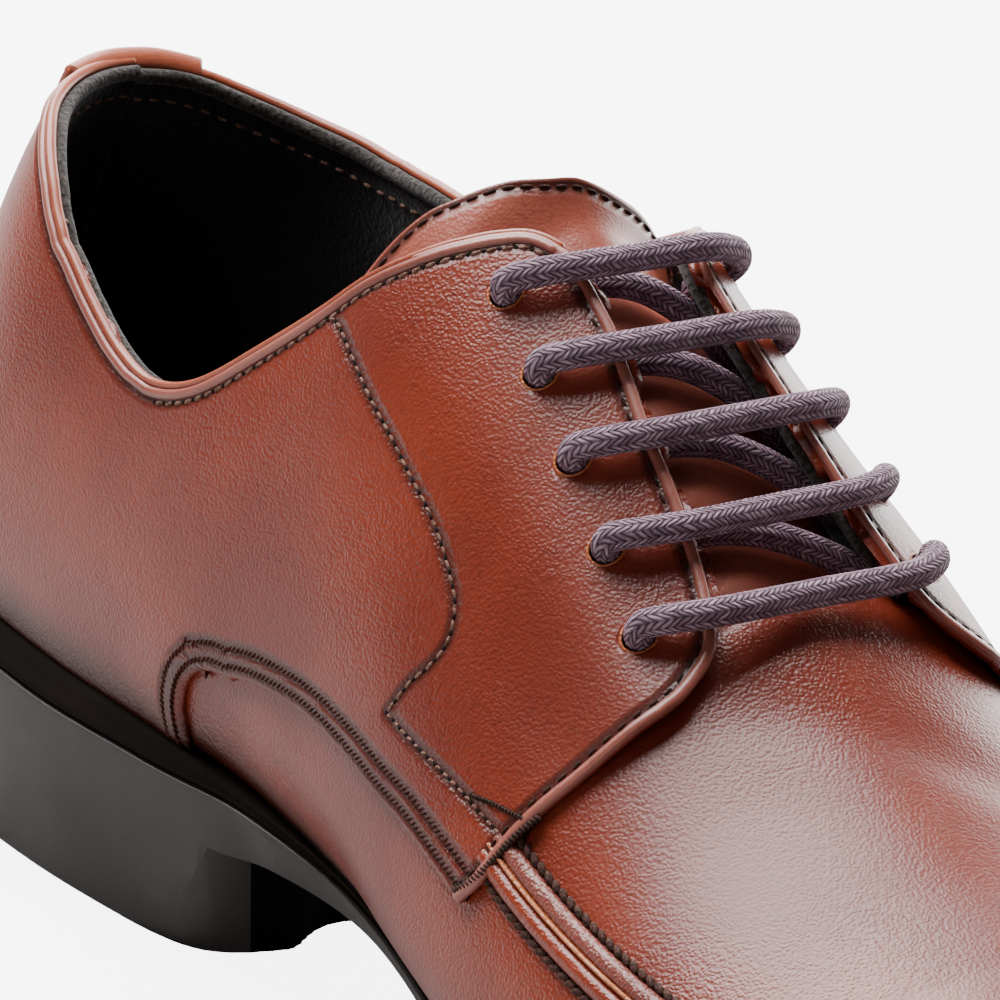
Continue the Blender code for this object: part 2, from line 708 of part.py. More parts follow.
def welt_depth(place, side):
    """Underside of the welt below the feather line."""
    return UPPER_SEAT + WELT_THICKNESS * sole_value("welt", place, side)


def floor_height(along):
    """Underside of the forepart, lifting towards the toe."""
    lift = max((along - TOE_LIFT_SHARE) / (1 - TOE_LIFT_SHARE), 0.0)
    return TOE_SPRING * lift ** 1.6


def sole_top_point(place, side):
    return edge_point(place, side, ledge_at(place, side), -welt_depth(place, side) - CLEARANCE)


def sole_floor_point(place, side):
    lean = BALL_WIDTH * sole_value("lean_" + side_name(side), place, side)
    point = edge_point(place, side, ledge_at(place, side) - lean, 0.0)
    point.z = floor_height(along_at(place, side))
    return point


def insole_point(raise_by):
    inset = VAMP_WALL + 2 * CLEARANCE

    def point(place, side):
        return edge_point(place, side, -inset, raise_by - QUARTER_DROP)
    return point


def sole_places():
    middle = [1 + k / SOLE_STEPS for k in range(SOLE_STEPS)]
    return ([k / FAN_STEPS for k in range(FAN_STEPS)] + middle
            + [2 + k / FAN_STEPS for k in range(FAN_STEPS + 1)])


def plate(name, levels, places, collection, finish=None):
    """Closed slab through rings that follow the last's outline, lowest first."""
    bm = bmesh.new()
    last = len(places) - 1
    rings = []
    for level in levels:
        inner = [bm.verts.new(level(place, INNER)) for place in places]
        outer = [inner[0]] + [bm.verts.new(level(place, OUTER)) for place in places[1:-1]] + [inner[-1]]
        rings.append((inner, outer))
    for low, high in zip(rings, rings[1:]):
        for half in (0, 1):
            for k in range(last):
                bm.faces.new((low[half][k], low[half][k + 1], high[half][k + 1], high[half][k]))
    for inner, outer in (rings[0], rings[-1]):
        for k in range(last):
            corners = [inner[k], inner[k + 1], outer[k + 1], outer[k]]
            bm.faces.new([v for n, v in enumerate(corners) if v is not corners[n - 1]])
    return object_from_bmesh(name, bm, collection, finish)


def arch_cutter(collection):
    """Room under the waist, with the heel's hollow breast as its rear wall."""
    steps = 24
    floor = []
    roof = []
    plan = [(-out, back, -flare) for out, back, flare in BREAST_PLAN[:0:-1]] + BREAST_PLAN
    for out, back, flare in plan:
        y = out * BALL_WIDTH
        start = BREAST_SHARE - back
        end = WAIST_LINE[-1][0]
        floor.append([])
        roof.append([])
        for k in range(steps + 1):
            along = start + (end - start) * k / steps
            x = along * UPPER_LENGTH
            height = SEAT_HEIGHT * curve_through(WAIST_LINE, along)
            slant = BREAST_SLANT * (1 - k / steps)
            floor[-1].append((x - slant * SEAT_HEIGHT / 2, y - flare * SEAT_HEIGHT / 2, -SEAT_HEIGHT / 2))
            roof[-1].append((x + slant * height, y + flare * height, height))
    bm = bmesh.new()
    floor = [[bm.verts.new(co) for co in row] for row in floor]
    roof = [[bm.verts.new(co) for co in row] for row in roof]
    close_slab(bm, floor, roof)
    return hide_cutter(object_from_bmesh("arch", bm, collection))


def make_outsole(parts, cutters, finish):
    outsole = plate("outsole", [sole_floor_point, sole_top_point], sole_places(), parts)
    combine(outsole, arch_cutter(cutters), "DIFFERENCE")
    groove = HEEL_GROOVE_SHARE * UPPER_LENGTH
    half = GROOVE_WIDTH / 2
    outline = [(groove - half, -GROOVE_DEPTH), (groove + half, -GROOVE_DEPTH),
               (groove + half, GROOVE_DEPTH), (groove - half, GROOVE_DEPTH)]
    cut = prism("groove", cutters, outline, "Y", -BALL_WIDTH, BALL_WIDTH)
    combine(outsole, cut, "DIFFERENCE")
    outsole.data.materials.append(finish)
    return outsole


def make_welt(parts, finish):
    """Ring round the shoe: flat under the upper's edge, sloping down to the sole's edge."""
    bm = bmesh.new()
    flat = QUARTER_STEP + 2 * CLEARANCE
    places = sole_places()
    loop = [(place, INNER) for place in places] + [(place, OUTER) for place in places[-2:0:-1]]
    rings = []
    for place, side in loop:
        top = -UPPER_SEAT
        bottom = -welt_depth(place, side)
        reach = ledge_at(place, side)
        shoulder = min(flat, reach - CLEARANCE / 2)
        lip = bottom + 0.3 * (top - bottom)
        profile = [(-WELT_LAP, bottom), (reach, bottom), (reach, lip), (shoulder, top), (-WELT_LAP, top)]
        rings.append([bm.verts.new(edge_point(place, side, out, above)) for out, above in profile])
    count = len(rings[0])
    for n, ring in enumerate(rings):
        ahead = rings[(n + 1) % len(rings)]
        for k in range(count):
            nxt = (k + 1) % count
            bm.faces.new((ring[k], ahead[k], ahead[nxt], ring[nxt]))
    return object_from_bmesh("welt", bm, parts, finish)


def make_insole(parts, finish):
    levels = [insole_point(0.0), insole_point(INSOLE_THICKNESS)]
    return plate("insole", levels, PLACES, parts, finish)


def make_tongue(parts, cutters, finish):
    tongue = last_form("tongue", parts, tongue_offset)
    under = last_form("under", cutters, lambda point: tongue_offset(point) - TONGUE_THICKNESS, skirt=0.01)
    combine(tongue, under, "DIFFERENCE")
    outline = [(along * UPPER_LENGTH, half * BALL_WIDTH) for along, half in TONGUE_OUTLINE]
    cut = prism("tongue_outline", cutters, outline, "Z", 0.45 * INSTEP_HEIGHT, 2 * INSTEP_HEIGHT)
    combine(tongue, cut, "INTERSECT")
    tongue.data.materials.append(finish)
    return tongue


def make_back_strip(parts, cutters, finish):
    def outside(point):
        return quarter_offset(point) + CLEARANCE + STRIP_THICKNESS

    def inside(point):
        return quarter_offset(point) + CLEARANCE

    strip = last_form("back_strip", parts, outside)
    combine(strip, last_form("strip_back", cutters, inside, skirt=0.01), "DIFFERENCE")
    bm = bmesh.new()
    rows = [(height * INSTEP_HEIGHT, half) for height, half in refined(BACK_STRIP, 3)]
    floor = [[bm.verts.new((-CUTTER_REACH, y, z)) for y in (-half, half)] for z, half in rows]
    front = STRIP_FRONT * UPPER_LENGTH
    roof = [[bm.verts.new((front, y, z)) for y in (-half, half)] for z, half in rows]
    close_slab(bm, floor, roof)
    combine(strip, hide_cutter(object_from_bmesh("strip_outline", bm, cutters)), "INTERSECT")
    combine(strip, topline_cutter(cutters), "DIFFERENCE")
    strip.data.materials.append(finish)
    return strip


def lace_route():
    """Points of the lace: a bar over each pair of eyelets and a hidden crossing between."""
    step = EYELET_PITCH / UPPER_LENGTH
    facing = QUARTER_STEP + FACING_LIFT
    rest = facing + LACE_RADIUS + CLEARANCE

    def at(number, width, lift):
        return last_point(EYELET_START / UPPER_LENGTH + number * step, width, lift)[0]

    def half_bar(number, side):
        """From under one eyelet up through it and over the facing's edge."""
        hole, out = eyelet(number, side)
        inward = Vector((0, -side * LACE_RADIUS, 0))
        lead = BAR_LEAD / EYELET_PITCH
        edge = throat_edge(hole.x / UPPER_LENGTH, side)
        inset = eyelet_inset(number, side)
        crest = side * (inset + BAR_CREST_SHARE * (edge - inset))
        return [hole - out * (facing + LACE_DEPTH), hole - out * PATH_BELOW_HOLE,
                hole + out * PATH_ABOVE_HOLE, hole + out * PATH_TURN + inward * PATH_TURN_INWARD,
                at(number + lead / 2, crest, rest + BAR_CREST),
                at(number + lead, side * edge, rest + BAR_EDGE_RISE)]

    points = []
    for number in reversed(range(EYELETS)):
        near = half_bar(number, INNER)
        far = half_bar(number, OUTER)
        points += near + [(near[-1] + far[-1]) / 2] + far[::-1]
        if number:
            for share in CROSSING_SHARES:
                inset = eyelet_inset(number, OUTER if share > 0 else INNER)
                points.append(at(number - (1 - share) / 2, share * inset, -LACE_DEPTH))
    return points


def make_lace(parts, finish):
    curve = bpy.data.curves.new("lace", "CURVE")
    curve.dimensions = "3D"
    curve.bevel_depth = LACE_RADIUS
    curve.bevel_resolution = LACE_SIDES
    curve.use_fill_caps = True
    route = lace_route()
    spline = curve.splines.new("POLY")
    spline.points.add(len(route) - 1)
    for point, co in zip(spline.points, route):
        point.co = (*co, 1.0)
    return new_object("lace", curve, parts, finish)


def stand_on_centre(parts):
    """Shift every part so that the shoe's box is centred over the origin."""
    bpy.context.view_layer.update()
    depsgraph = bpy.context.evaluated_depsgraph_get()
    corners = []
    for item in parts.objects:
        mesh = item.evaluated_get(depsgraph).to_mesh()
        corners += [v.co.copy() for v in mesh.vertices]
    middle = [(min(co[k] for co in corners) + max(co[k] for co in corners)) / 2 for k in (0, 1)]
    for item in parts.objects:
        item.location = (-middle[0], -middle[1], 0.0)


def main():
    clear_scene()
    parts = bpy.data.collections.new("derby_shoe")
    cutters = bpy.data.collections.new("cutters")
    bpy.context.scene.collection.children.link(parts)
    bpy.context.scene.collection.children.link(cutters)
    leather = material("burnished_leather", LEATHER, 0.35)
    grey = material("grey_rubber", GREY_RUBBER, 0.45)
    black = material("black_rubber", BLACK_RUBBER, 0.60)
    lining = material("lining_cloth", LINING, 0.90)
    cord = material("waxed_cord", CORD, 0.60)
    make_outsole(parts, cutters, grey)
    make_welt(parts, black)
    make_insole(parts, lining)
    make_upper(parts, cutters, leather)
    make_back_strip(parts, cutters, leather)
    make_tongue(parts, cutters, leather)
    make_lace(parts, cord)
    stand_on_centre(parts)


main()
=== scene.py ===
"""Looks of the derby shoe: leather panels, seams, lining, laced cord and moulded sole.

Metres, +Z up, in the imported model's frame. The toe points along +X and +Y is the outer
side. The leather panels are grids whose points are moved onto the shoe's last.
"""
import math
import random

import bmesh
import bpy
import numpy as np
from mathutils import Matrix, Vector, kdtree


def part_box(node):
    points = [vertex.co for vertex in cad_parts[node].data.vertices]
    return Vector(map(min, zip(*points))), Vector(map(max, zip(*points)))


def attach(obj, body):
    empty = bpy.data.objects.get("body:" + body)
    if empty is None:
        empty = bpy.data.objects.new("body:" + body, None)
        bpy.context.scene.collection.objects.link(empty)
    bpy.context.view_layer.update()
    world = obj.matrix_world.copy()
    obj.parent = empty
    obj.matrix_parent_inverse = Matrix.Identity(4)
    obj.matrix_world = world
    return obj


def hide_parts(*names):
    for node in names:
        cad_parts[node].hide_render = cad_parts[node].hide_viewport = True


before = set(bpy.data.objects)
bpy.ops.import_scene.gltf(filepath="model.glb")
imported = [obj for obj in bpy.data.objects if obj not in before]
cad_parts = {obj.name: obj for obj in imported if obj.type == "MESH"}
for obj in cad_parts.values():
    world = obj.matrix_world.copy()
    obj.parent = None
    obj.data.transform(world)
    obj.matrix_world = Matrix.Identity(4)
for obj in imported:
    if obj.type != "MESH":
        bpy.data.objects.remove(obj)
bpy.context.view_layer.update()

# Camera
# A long lens looks down on the shoe's inner side from ahead of it. The whole picture is
# rolled a little, and the frame cuts off the heel's back and the toe.
HEEL_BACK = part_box("upper")[0].x
MIDDLE = (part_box("back_strip")[0].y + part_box("back_strip")[1].y) / 2
CAMERA_TARGET = Vector((HEEL_BACK + 0.100, MIDDLE, 0.060))
CAMERA_TURN = math.radians(39.9)
CAMERA_RISE = math.radians(18.9)
CAMERA_ROLL = math.radians(9.6)
CAMERA_DISTANCE = 1.065
CAMERA_LENS = 294.8
CAMERA_SHIFT = (0.017, 0.044)

camera_data = bpy.data.cameras.new("camera")
camera_data.lens = CAMERA_LENS
camera_data.sensor_width = 36.0
camera_data.shift_x, camera_data.shift_y = CAMERA_SHIFT
camera_data.clip_end = 20.0
camera = bpy.data.objects.new("camera", camera_data)
bpy.context.scene.collection.objects.link(camera)
towards = Vector((math.cos(CAMERA_RISE) * math.cos(CAMERA_TURN),
                  -math.cos(CAMERA_RISE) * math.sin(CAMERA_TURN), math.sin(CAMERA_RISE)))
level = Vector((math.sin(CAMERA_TURN), math.cos(CAMERA_TURN), 0.0))
upright = towards.cross(level)
right = level * math.cos(CAMERA_ROLL) + upright * math.sin(CAMERA_ROLL)
up = upright * math.cos(CAMERA_ROLL) - level * math.sin(CAMERA_ROLL)
stance = Matrix((right, up, towards)).transposed().to_4x4()
stance.translation = CAMERA_TARGET + towards * CAMERA_DISTANCE
camera.matrix_world = stance
bpy.context.scene.camera = camera

# The last
# The wooden form that the upper is pulled over. Half sections stand on the feather line,
# where upper and sole meet, and close over the top; the heel's and the toe's fan out.
UPPER_LENGTH = 0.292
BALL_WIDTH = 0.100
SEAT_HEIGHT = 0.0305
INSTEP_HEIGHT = 0.108
HEEL_FAN = 0.13
TOE_FAN = 0.75
BACK_BULGE_SHARE = 0.463
BACK_TUCK = 0.0032
HEEL_SQUARE = 2.0
TOE_SQUARE = {-1: 2.5, 1: 2.25}
TOE_BULGE = 0.0012
QUARTER_STEP = 0.0014
SECTION_COLUMNS = ("along", "feather_inner", "feather_outer", "bulge_inner", "bulge_outer",
                   "feather_z", "bulge_z", "top_z", "up_inner", "out_inner", "up_outer", "out_outer")
SECTIONS = [
    (0.13, 0.308, 0.318, 0.325, 0.340, 1.000, 0.426, 1.160, 1.80, 1.60, 1.80, 1.60),
    (0.20, 0.318, 0.330, 0.335, 0.352, 0.980, 0.417, 1.170, 1.60, 1.50, 1.60, 1.50),
    (0.27, 0.312, 0.335, 0.345, 0.365, 0.965, 0.407, 1.155, 1.65, 1.60, 1.65, 1.60),
    (0.34, 0.303, 0.345, 0.350, 0.375, 0.920, 0.398, 1.110, 1.80, 1.75, 1.76, 1.70),
    (0.41, 0.288, 0.355, 0.368, 0.378, 0.770, 0.360, 0.989, 2.00, 1.95, 1.83, 1.86),
    (0.48, 0.305, 0.395, 0.405, 0.412, 0.600, 0.300, 0.866, 1.90, 1.85, 1.92, 1.98),
    (0.55, 0.350, 0.440, 0.435, 0.450, 0.470, 0.262, 0.727, 1.85, 1.75, 2.20, 2.30),
    (0.62, 0.410, 0.485, 0.455, 0.494, 0.380, 0.240, 0.611, 1.90, 1.80, 2.15, 2.15),
    (0.69, 0.455, 0.515, 0.475, 0.525, 0.340, 0.227, 0.532, 2.00, 1.90, 2.10, 2.00),
    (0.75, 0.470, 0.510, 0.480, 0.520, 0.335, 0.213, 0.486, 2.20, 1.80, 2.20, 1.85),
]
TOE_FEATHER = [(0.75, 0.335), (0.82, 0.370), (0.88, 0.440), (0.94, 0.530), (1.0, 0.620)]
INNER, OUTER = -1, 1
ORIGIN = Vector((HEEL_BACK, MIDDLE, 0.0))


def through(rows, at):
    """Smooth value at a place, through rows of (place, value)."""
    if at <= rows[0][0]:
        return rows[0][1]
    if at >= rows[-1][0]:
        return rows[-1][1]
    k = max(n for n in range(len(rows) - 1) if rows[n][0] <= at)
    gap = rows[k + 1][0] - rows[k][0]

    def slope(n):
        low, high = max(n - 1, 0), min(n + 1, len(rows) - 1)
        return (rows[high][1] - rows[low][1]) / (rows[high][0] - rows[low][0])

    t = (at - rows[k][0]) / gap
    start, end = slope(k) * gap, slope(k + 1) * gap
    rise = rows[k + 1][1] - rows[k][1]
    return rows[k][1] + start * t + (3 * rise - 2 * start - end) * t**2 + (start + end - 2 * rise) * t**3


def ease(value, low, high):
    """0 below low, 1 above high and smooth between them."""
    t = min(max((value - low) / (high - low), 0.0), 1.0)
    return t * t * (3 - 2 * t)


def section(name, along):
    column = SECTION_COLUMNS.index(name)
    return through([(row[0], row[column]) for row in SECTIONS], along)


def feather_height(along):
    rows = [(row[0], row[5]) for row in SECTIONS] + TOE_FEATHER[1:]
    return SEAT_HEIGHT * through(rows, along)


def oval_reach(angle, forward, sideways, power):
    ahead = (abs(math.cos(angle)) / forward) ** power
    beside = (abs(math.sin(angle)) / sideways) ** power
    return (ahead + beside) ** (-1 / power)


class HalfSection:
    """One upright half section; place runs 0..1 round the heel, 1..2 along, 2..3 round the toe."""

    def __init__(self, place, side):
        word = "inner" if side == INNER else "outer"
        along = HEEL_FAN + (TOE_FAN - HEEL_FAN) * min(max(place - 1, 0), 1)
        self.foot = along * UPPER_LENGTH
        self.heading = (0.0, float(side))
        self.feather = BALL_WIDTH * section("feather_" + word, along)
        self.bulge = BALL_WIDTH * section("bulge_" + word, along)
        self.bulge_z = INSTEP_HEIGHT * section("bulge_z", along)
        self.top_z = INSTEP_HEIGHT * section("top_z", along)
        self.up = section("up_" + word, along)
        self.out = section("out_" + word, along)
        self.slope = 0.0
        self.feather_z = feather_height(along)
        if place < 1:
            angle = place * math.pi / 2
            back = HEEL_FAN * UPPER_LENGTH
            self.heading = (-math.cos(angle), side * math.sin(angle))
            self.feather = oval_reach(angle, back - BACK_TUCK, self.feather, HEEL_SQUARE)
            self.bulge = oval_reach(angle, back - QUARTER_STEP, self.bulge, HEEL_SQUARE)
            turned = ease(place, 0, 1)
            self.bulge_z += (1 - turned) * (BACK_BULGE_SHARE * INSTEP_HEIGHT - self.bulge_z)
            self.up += (1 - turned) * (2.0 - self.up)
            self.out += (1 - turned) * (1.8 - self.out)
        if place > 2:
            angle = (3 - place) * math.pi / 2
            front = (1 - TOE_FAN) * UPPER_LENGTH
            self.heading = (math.cos(angle), side * math.sin(angle))
            seat = self.feather_z
            self.feather = oval_reach(angle, front, self.feather, TOE_SQUARE[side])
            self.bulge = oval_reach(angle, front + TOE_BULGE, self.bulge, TOE_SQUARE[side])
            self.feather_z = feather_height(TOE_FAN + self.feather * self.heading[0] / UPPER_LENGTH)
            self.bulge_z += 0.6 * (self.feather_z - seat)
            before = section("top_z", TOE_FAN - 0.01) * INSTEP_HEIGHT
            self.slope = (self.top_z - before) / (0.01 * UPPER_LENGTH) * self.heading[0]
            turned = ease(place - 2, 0, 1)
            self.up += turned * 0.2
            self.out -= turned * 0.2

    def point(self, row):
        """row runs -1..0 from the feather line to the bulge and 0..1 to the ridge line."""
        if row <= 0:
            width = self.feather + (self.bulge - self.feather) * (1 - row * row)
            height = self.bulge_z + row * (self.bulge_z - self.feather_z)
        else:
            turn = min(row, 1.0) * math.pi / 2
            width = self.bulge * max(math.cos(turn), 0.0) ** (2 / self.out)
            top = self.top_z + self.slope * width * (1 - width / self.bulge)
            height = self.bulge_z + (top - self.bulge_z) * math.sin(turn) ** (2 / self.up)
        return (self.foot + self.heading[0] * width, self.heading[1] * width, height)


PLACE_CELLS = 180
ROW_CELLS = 96


def surface_tables(side):
    """Points and outward normals of one half of the last on a fine grid of places and rows."""
    places = np.linspace(0, 3, PLACE_CELLS + 1)
    rows = np.linspace(-1, 1, ROW_CELLS + 1)
    points = np.zeros((len(places), len(rows), 3))
    for n, place in enumerate(places):
        half = HalfSection(place, side)
        points[n] = [half.point(row) for row in rows]
    ahead = np.gradient(points, axis=0)
    upward = np.gradient(points, axis=1)
    normals = np.cross(ahead, upward) * -side
    length = np.linalg.norm(normals, axis=2, keepdims=True)
    flat = length[..., 0] < 1e-10
    normals = normals / np.maximum(length, 1e-12)
    normals[flat] = (0, 0, 1)
    normals[:, -1] = normals[:, -2]
    normals[:, -1, 1] = 0
    normals /= np.linalg.norm(normals, axis=2, keepdims=True)
    return points, normals


LAST = {side: surface_tables(side) for side in (INNER, OUTER)}


def on_last(place, row, side, lift=0.0):
    """Points lifted off the last, from arrays of places, rows, sides and lifts."""
    place, row, side, lift = np.broadcast_arrays(*(np.asarray(v, float) for v in (place, row, side, lift)))
    u = np.clip(place / 3, 0, 1) * PLACE_CELLS
    v = np.clip((row + 1) / 2, 0, 1) * ROW_CELLS
    u0 = np.minimum(u.astype(int), PLACE_CELLS - 1)
    v0 = np.minimum(v.astype(int), ROW_CELLS - 1)
    fu = (u - u0)[..., None]
    fv = (v - v0)[..., None]
    found = []
    for table in (0, 1):
        value = 0
        for s in (INNER, OUTER):
            grid = LAST[s][table]
            mixed = ((grid[u0, v0] * (1 - fu) + grid[u0 + 1, v0] * fu) * (1 - fv)
                     + (grid[u0, v0 + 1] * (1 - fu) + grid[u0 + 1, v0 + 1] * fu) * fv)
            value = value + mixed * (side == s)[..., None]
        found.append(value)
    normal = found[1] / np.linalg.norm(found[1], axis=-1, keepdims=True)
    return found[0] + normal * lift[..., None], normal


def lifted(line, side, lift=0.0):
    return on_last(line[:, 0], line[:, 1], side, lift)


# Quarters
# The two rear panels of calf, cut in one with their facings and sewn over the vamp. The
# edges are turned, and the facings stand off a little where the lining backs them.
PLACE_SIZE = 0.181
ROW_SIZE = 0.075
FACING_LIFT = 0.0016
QUARTER_WALL = 0.0013
EDGE_TURN = 0.0010
EDGE_DROP = 0.0007
COLLAR_DIP = 1.22
WELD = 1e-6
STEADY = 6
PATCH_ROW = -0.085
TOP_EDGE = {
    INNER: [(0.0, 0.422), (0.2, 0.421), (0.4, 0.414), (0.6, 0.405), (0.8, 0.376), (0.9, 0.352),
            (1.0, 0.325), (1.05, 0.298), (1.10, 0.278), (1.15, 0.273), (1.20, 0.300), (1.25, 0.364),
            (1.30, 0.443), (1.33, 0.508), (1.36, 0.578), (1.386, 0.657), (1.403, 0.721),
            (1.420, 0.785), (1.440, 0.826), (1.463, 0.842), (1.499, 0.844), (1.530, 0.830),
            (1.564, 0.814), (1.600, 0.806), (1.628, 0.798), (1.660, 0.783), (1.688, 0.763)],
    OUTER: [(0.0, 0.416), (0.2, 0.413), (0.4, 0.400), (0.6, 0.395), (0.8, 0.397), (1.0, 0.396),
            (1.05, 0.408), (1.1, 0.418), (1.15, 0.423), (1.2, 0.434), (1.25, 0.461), (1.3, 0.505),
            (1.33, 0.542), (1.36, 0.594), (1.38, 0.640), (1.40, 0.697), (1.418, 0.760),
            (1.433, 0.815), (1.450, 0.852), (1.472, 0.870), (1.505, 0.870), (1.55, 0.859),
            (1.6, 0.853), (1.65, 0.848), (1.688, 0.831)],
}
FRONT_EDGE = {
    INNER: [(1.688, 0.763), (1.704, 0.742), (1.715, 0.705), (1.723, 0.635), (1.719, 0.546),
            (1.709, 0.433), (1.696, 0.329), (1.687, 0.253), (1.680, 0.192), (1.667, 0.137)],
    OUTER: [(1.688, 0.831), (1.706, 0.806), (1.719, 0.764), (1.729, 0.690), (1.729, 0.610), (1.724, 0.540),
            (1.714, 0.440), (1.700, 0.330), (1.688, 0.240), (1.678, 0.170), (1.664, 0.110)],
}
LOW_CORNER = [(1.325, 0.0), (1.309, -0.034), (1.297, -0.085), (1.287, -0.155), (1.279, -0.245),
              (1.273, -0.350), (1.269, -0.480), (1.266, -0.640), (1.266, -1.0)]
LOW_EDGE = {
    INNER: [(1.667, 0.137), (1.631, 0.134), (1.577, 0.122), (1.522, 0.094), (1.468, 0.067),
            (1.415, 0.049), (1.367, 0.030), (1.345, 0.018), *LOW_CORNER],
    OUTER: [(1.664, 0.110), (1.617, 0.100), (1.548, 0.098), (1.484, 0.076), (1.419, 0.054),
            (1.367, 0.032), (1.345, 0.019), *LOW_CORNER],
}


def track(points, count=300):
    """Smooth curve through (place, row) points, in even steps over the leather."""
    points = np.array(points, float)
    scale = np.array([PLACE_SIZE, ROW_SIZE])

    def travelled(curve):
        gaps = np.linalg.norm(np.diff(curve, axis=0) * scale, axis=1)
        return np.concatenate([[0.0], np.cumsum(gaps)])

    reach = travelled(points)
    columns = [list(zip(reach, points[:, k])) for k in (0, 1)]
    fine = np.linspace(0, reach[-1], 3 * count)
    curve = np.array([[through(rows, at) for rows in columns] for at in fine])
    reach = travelled(curve)
    even = np.linspace(0, reach[-1], count)
    return np.stack([np.interp(even, reach, curve[:, k]) for k in (0, 1)], 1)


def inset(line, side, distance):
    """The curve moved over the leather, downwards where it runs towards the toe."""
    start, out = lifted(line, side)
    forward = np.gradient(start, axis=0)
    forward /= np.linalg.norm(forward, axis=1, keepdims=True)
    goal = start + np.cross(out, forward) * side * distance
    found = line.copy()
    for _ in range(4):
        slopes = []
        for k in (0, 1):
            shift = np.zeros(2)
            shift[k] = 0.02
            low, high = found - shift, found + shift
            low[:, 0] = np.maximum(low[:, 0], 0)
            high[:, 1] = np.minimum(high[:, 1], 1)
            low[:, 1] = np.maximum(low[:, 1], -1)
            slopes.append((lifted(high, side)[0] - lifted(low, side)[0]) / (high - low)[:, k:k + 1])
        short = goal - lifted(found, side)[0]
        aa, uu = (slopes[0] ** 2).sum(1), (slopes[1] ** 2).sum(1)
        au = (slopes[0] * slopes[1]).sum(1)
        sa, su = (short * slopes[0]).sum(1), (short * slopes[1]).sum(1)
        step = np.stack([sa * uu - su * au, su * aa - sa * au], 1) / (aa * uu - au * au)[:, None]
        found = found + np.clip(step, -0.05, 0.05)
        found[:, 0] = np.maximum(found[:, 0], 0)
        found[:, 1] = np.clip(found[:, 1], -1, 1)
    padded = np.pad(found, ((STEADY, STEADY), (0, 0)), mode="reflect", reflect_type="odd")
    windows = np.lib.stride_tricks.sliding_window_view(padded, 2 * STEADY + 1, axis=0)
    return np.clip(np.median(windows, axis=-1), [0, -1], [2.9, 1])


def facing_share(points):
    """How far points belong to the facings, which stand off the tongue."""
    def rise(value, low, high):
        t = np.clip((value - low) / (high - low), 0, 1)
        return t * t * (3 - 2 * t)

    along = rise(points[..., 0], 0.300 * UPPER_LENGTH, 0.370 * UPPER_LENGTH)
    return along * rise(-np.abs(points[..., 1]), -0.34 * BALL_WIDTH, -0.24 * BALL_WIDTH)


def on_quarter(place, row, side, lift=0.0):
    """Points on the quarters' face, lifted off it."""
    bare, out = on_last(place, row, side)
    height = QUARTER_STEP + FACING_LIFT * facing_share(bare) + lift
    return bare + out * height[..., None], out


def resampled(curve, count):
    """The same curve with evenly spaced points, its corners kept."""
    gaps = np.linalg.norm(np.diff(curve, axis=0) * np.array([PLACE_SIZE, ROW_SIZE]), axis=1)
    reach = np.concatenate([[0.0], np.cumsum(gaps)])
    even = np.linspace(0, reach[-1], count)
    return np.stack([np.interp(even, reach, curve[:, k]) for k in (0, 1)], 1)


def away(points, lines):
    """Distance of each point from the nearest of these curves."""
    marks = np.concatenate(lines)
    tree = kdtree.KDTree(len(marks))
    for n, mark in enumerate(marks):
        tree.insert(mark, n)
    tree.balance()
    return np.array([tree.find(point)[2] for point in points.reshape(-1, 3)]).reshape(points.shape[:-1])


def filled(low, high, start, end, levels):
    """(place, row) grid between four curves; levels are the shares from low to high."""
    v = np.asarray(levels)[None, :, None]
    u = np.linspace(0, 1, len(low))[:, None, None]
    start, end = (np.stack([np.interp(levels, np.linspace(0, 1, len(edge)), edge[:, k])
                            for k in (0, 1)], 1) for edge in (start, end))
    between = low[:, None] * (1 - v) + high[:, None] * v
    beside = start[None] * (1 - u) + end[None] * u
    corners = ((low[0] * (1 - u) + low[-1] * u) * (1 - v) + (high[0] * (1 - u) + high[-1] * u) * v)
    return between + beside - corners


def shaped_grid(name, points, finish, flip=False, weld=False, size=None):
    """Object from a flat grid whose points are moved to these places on the shoe."""
    across, up = points.shape[0] - 1, points.shape[1] - 1
    bm = bmesh.new()
    bm.loops.layers.uv.new("UVMap")
    bmesh.ops.create_grid(bm, x_segments=across, y_segments=up, size=1.0, calc_uvs=True)
    places = points.transpose(1, 0, 2).reshape(-1, 3) + np.array(ORIGIN)
    for v, place in zip(bm.verts, places):
        v.co = place
    if flip:
        bmesh.ops.reverse_faces(bm, faces=bm.faces)
    if weld:
        bmesh.ops.remove_doubles(bm, verts=bm.verts, dist=0.00001)
    for face in bm.faces:
        face.smooth = True
    mesh = bpy.data.meshes.new(name)
    bm.to_mesh(mesh)
    bm.free()
    if size is not None:
        uvs = np.zeros(len(mesh.loops) * 2)
        mesh.uv_layers[0].data.foreach_get("uv", uvs)
        uvs = uvs.reshape(-1, 2) * np.array(size)
        mesh.uv_layers[0].data.foreach_set("uv", uvs.ravel())
    made = bpy.data.objects.new(name, mesh)
    bpy.context.scene.collection.objects.link(made)
    made.data.materials.append(finish)
    return made


def baked(piece):
    """Apply the piece's modifiers to its own mesh."""
    graph = bpy.context.evaluated_depsgraph_get()
    mesh = bpy.data.meshes.new_from_object(piece.evaluated_get(graph))
    old = piece.data
    piece.modifiers.clear()
    piece.data = mesh
    bpy.data.meshes.remove(old)
    mesh.name = piece.name
    return piece


def thickened(piece, depth):
    """Give a sheet its thickness, inwards from the face."""
    wall = piece.modifiers.new("wall", "SOLIDIFY")
    wall.thickness = depth
    wall.offset = -1.0
    wall.use_even_offset = False
    return baked(piece)


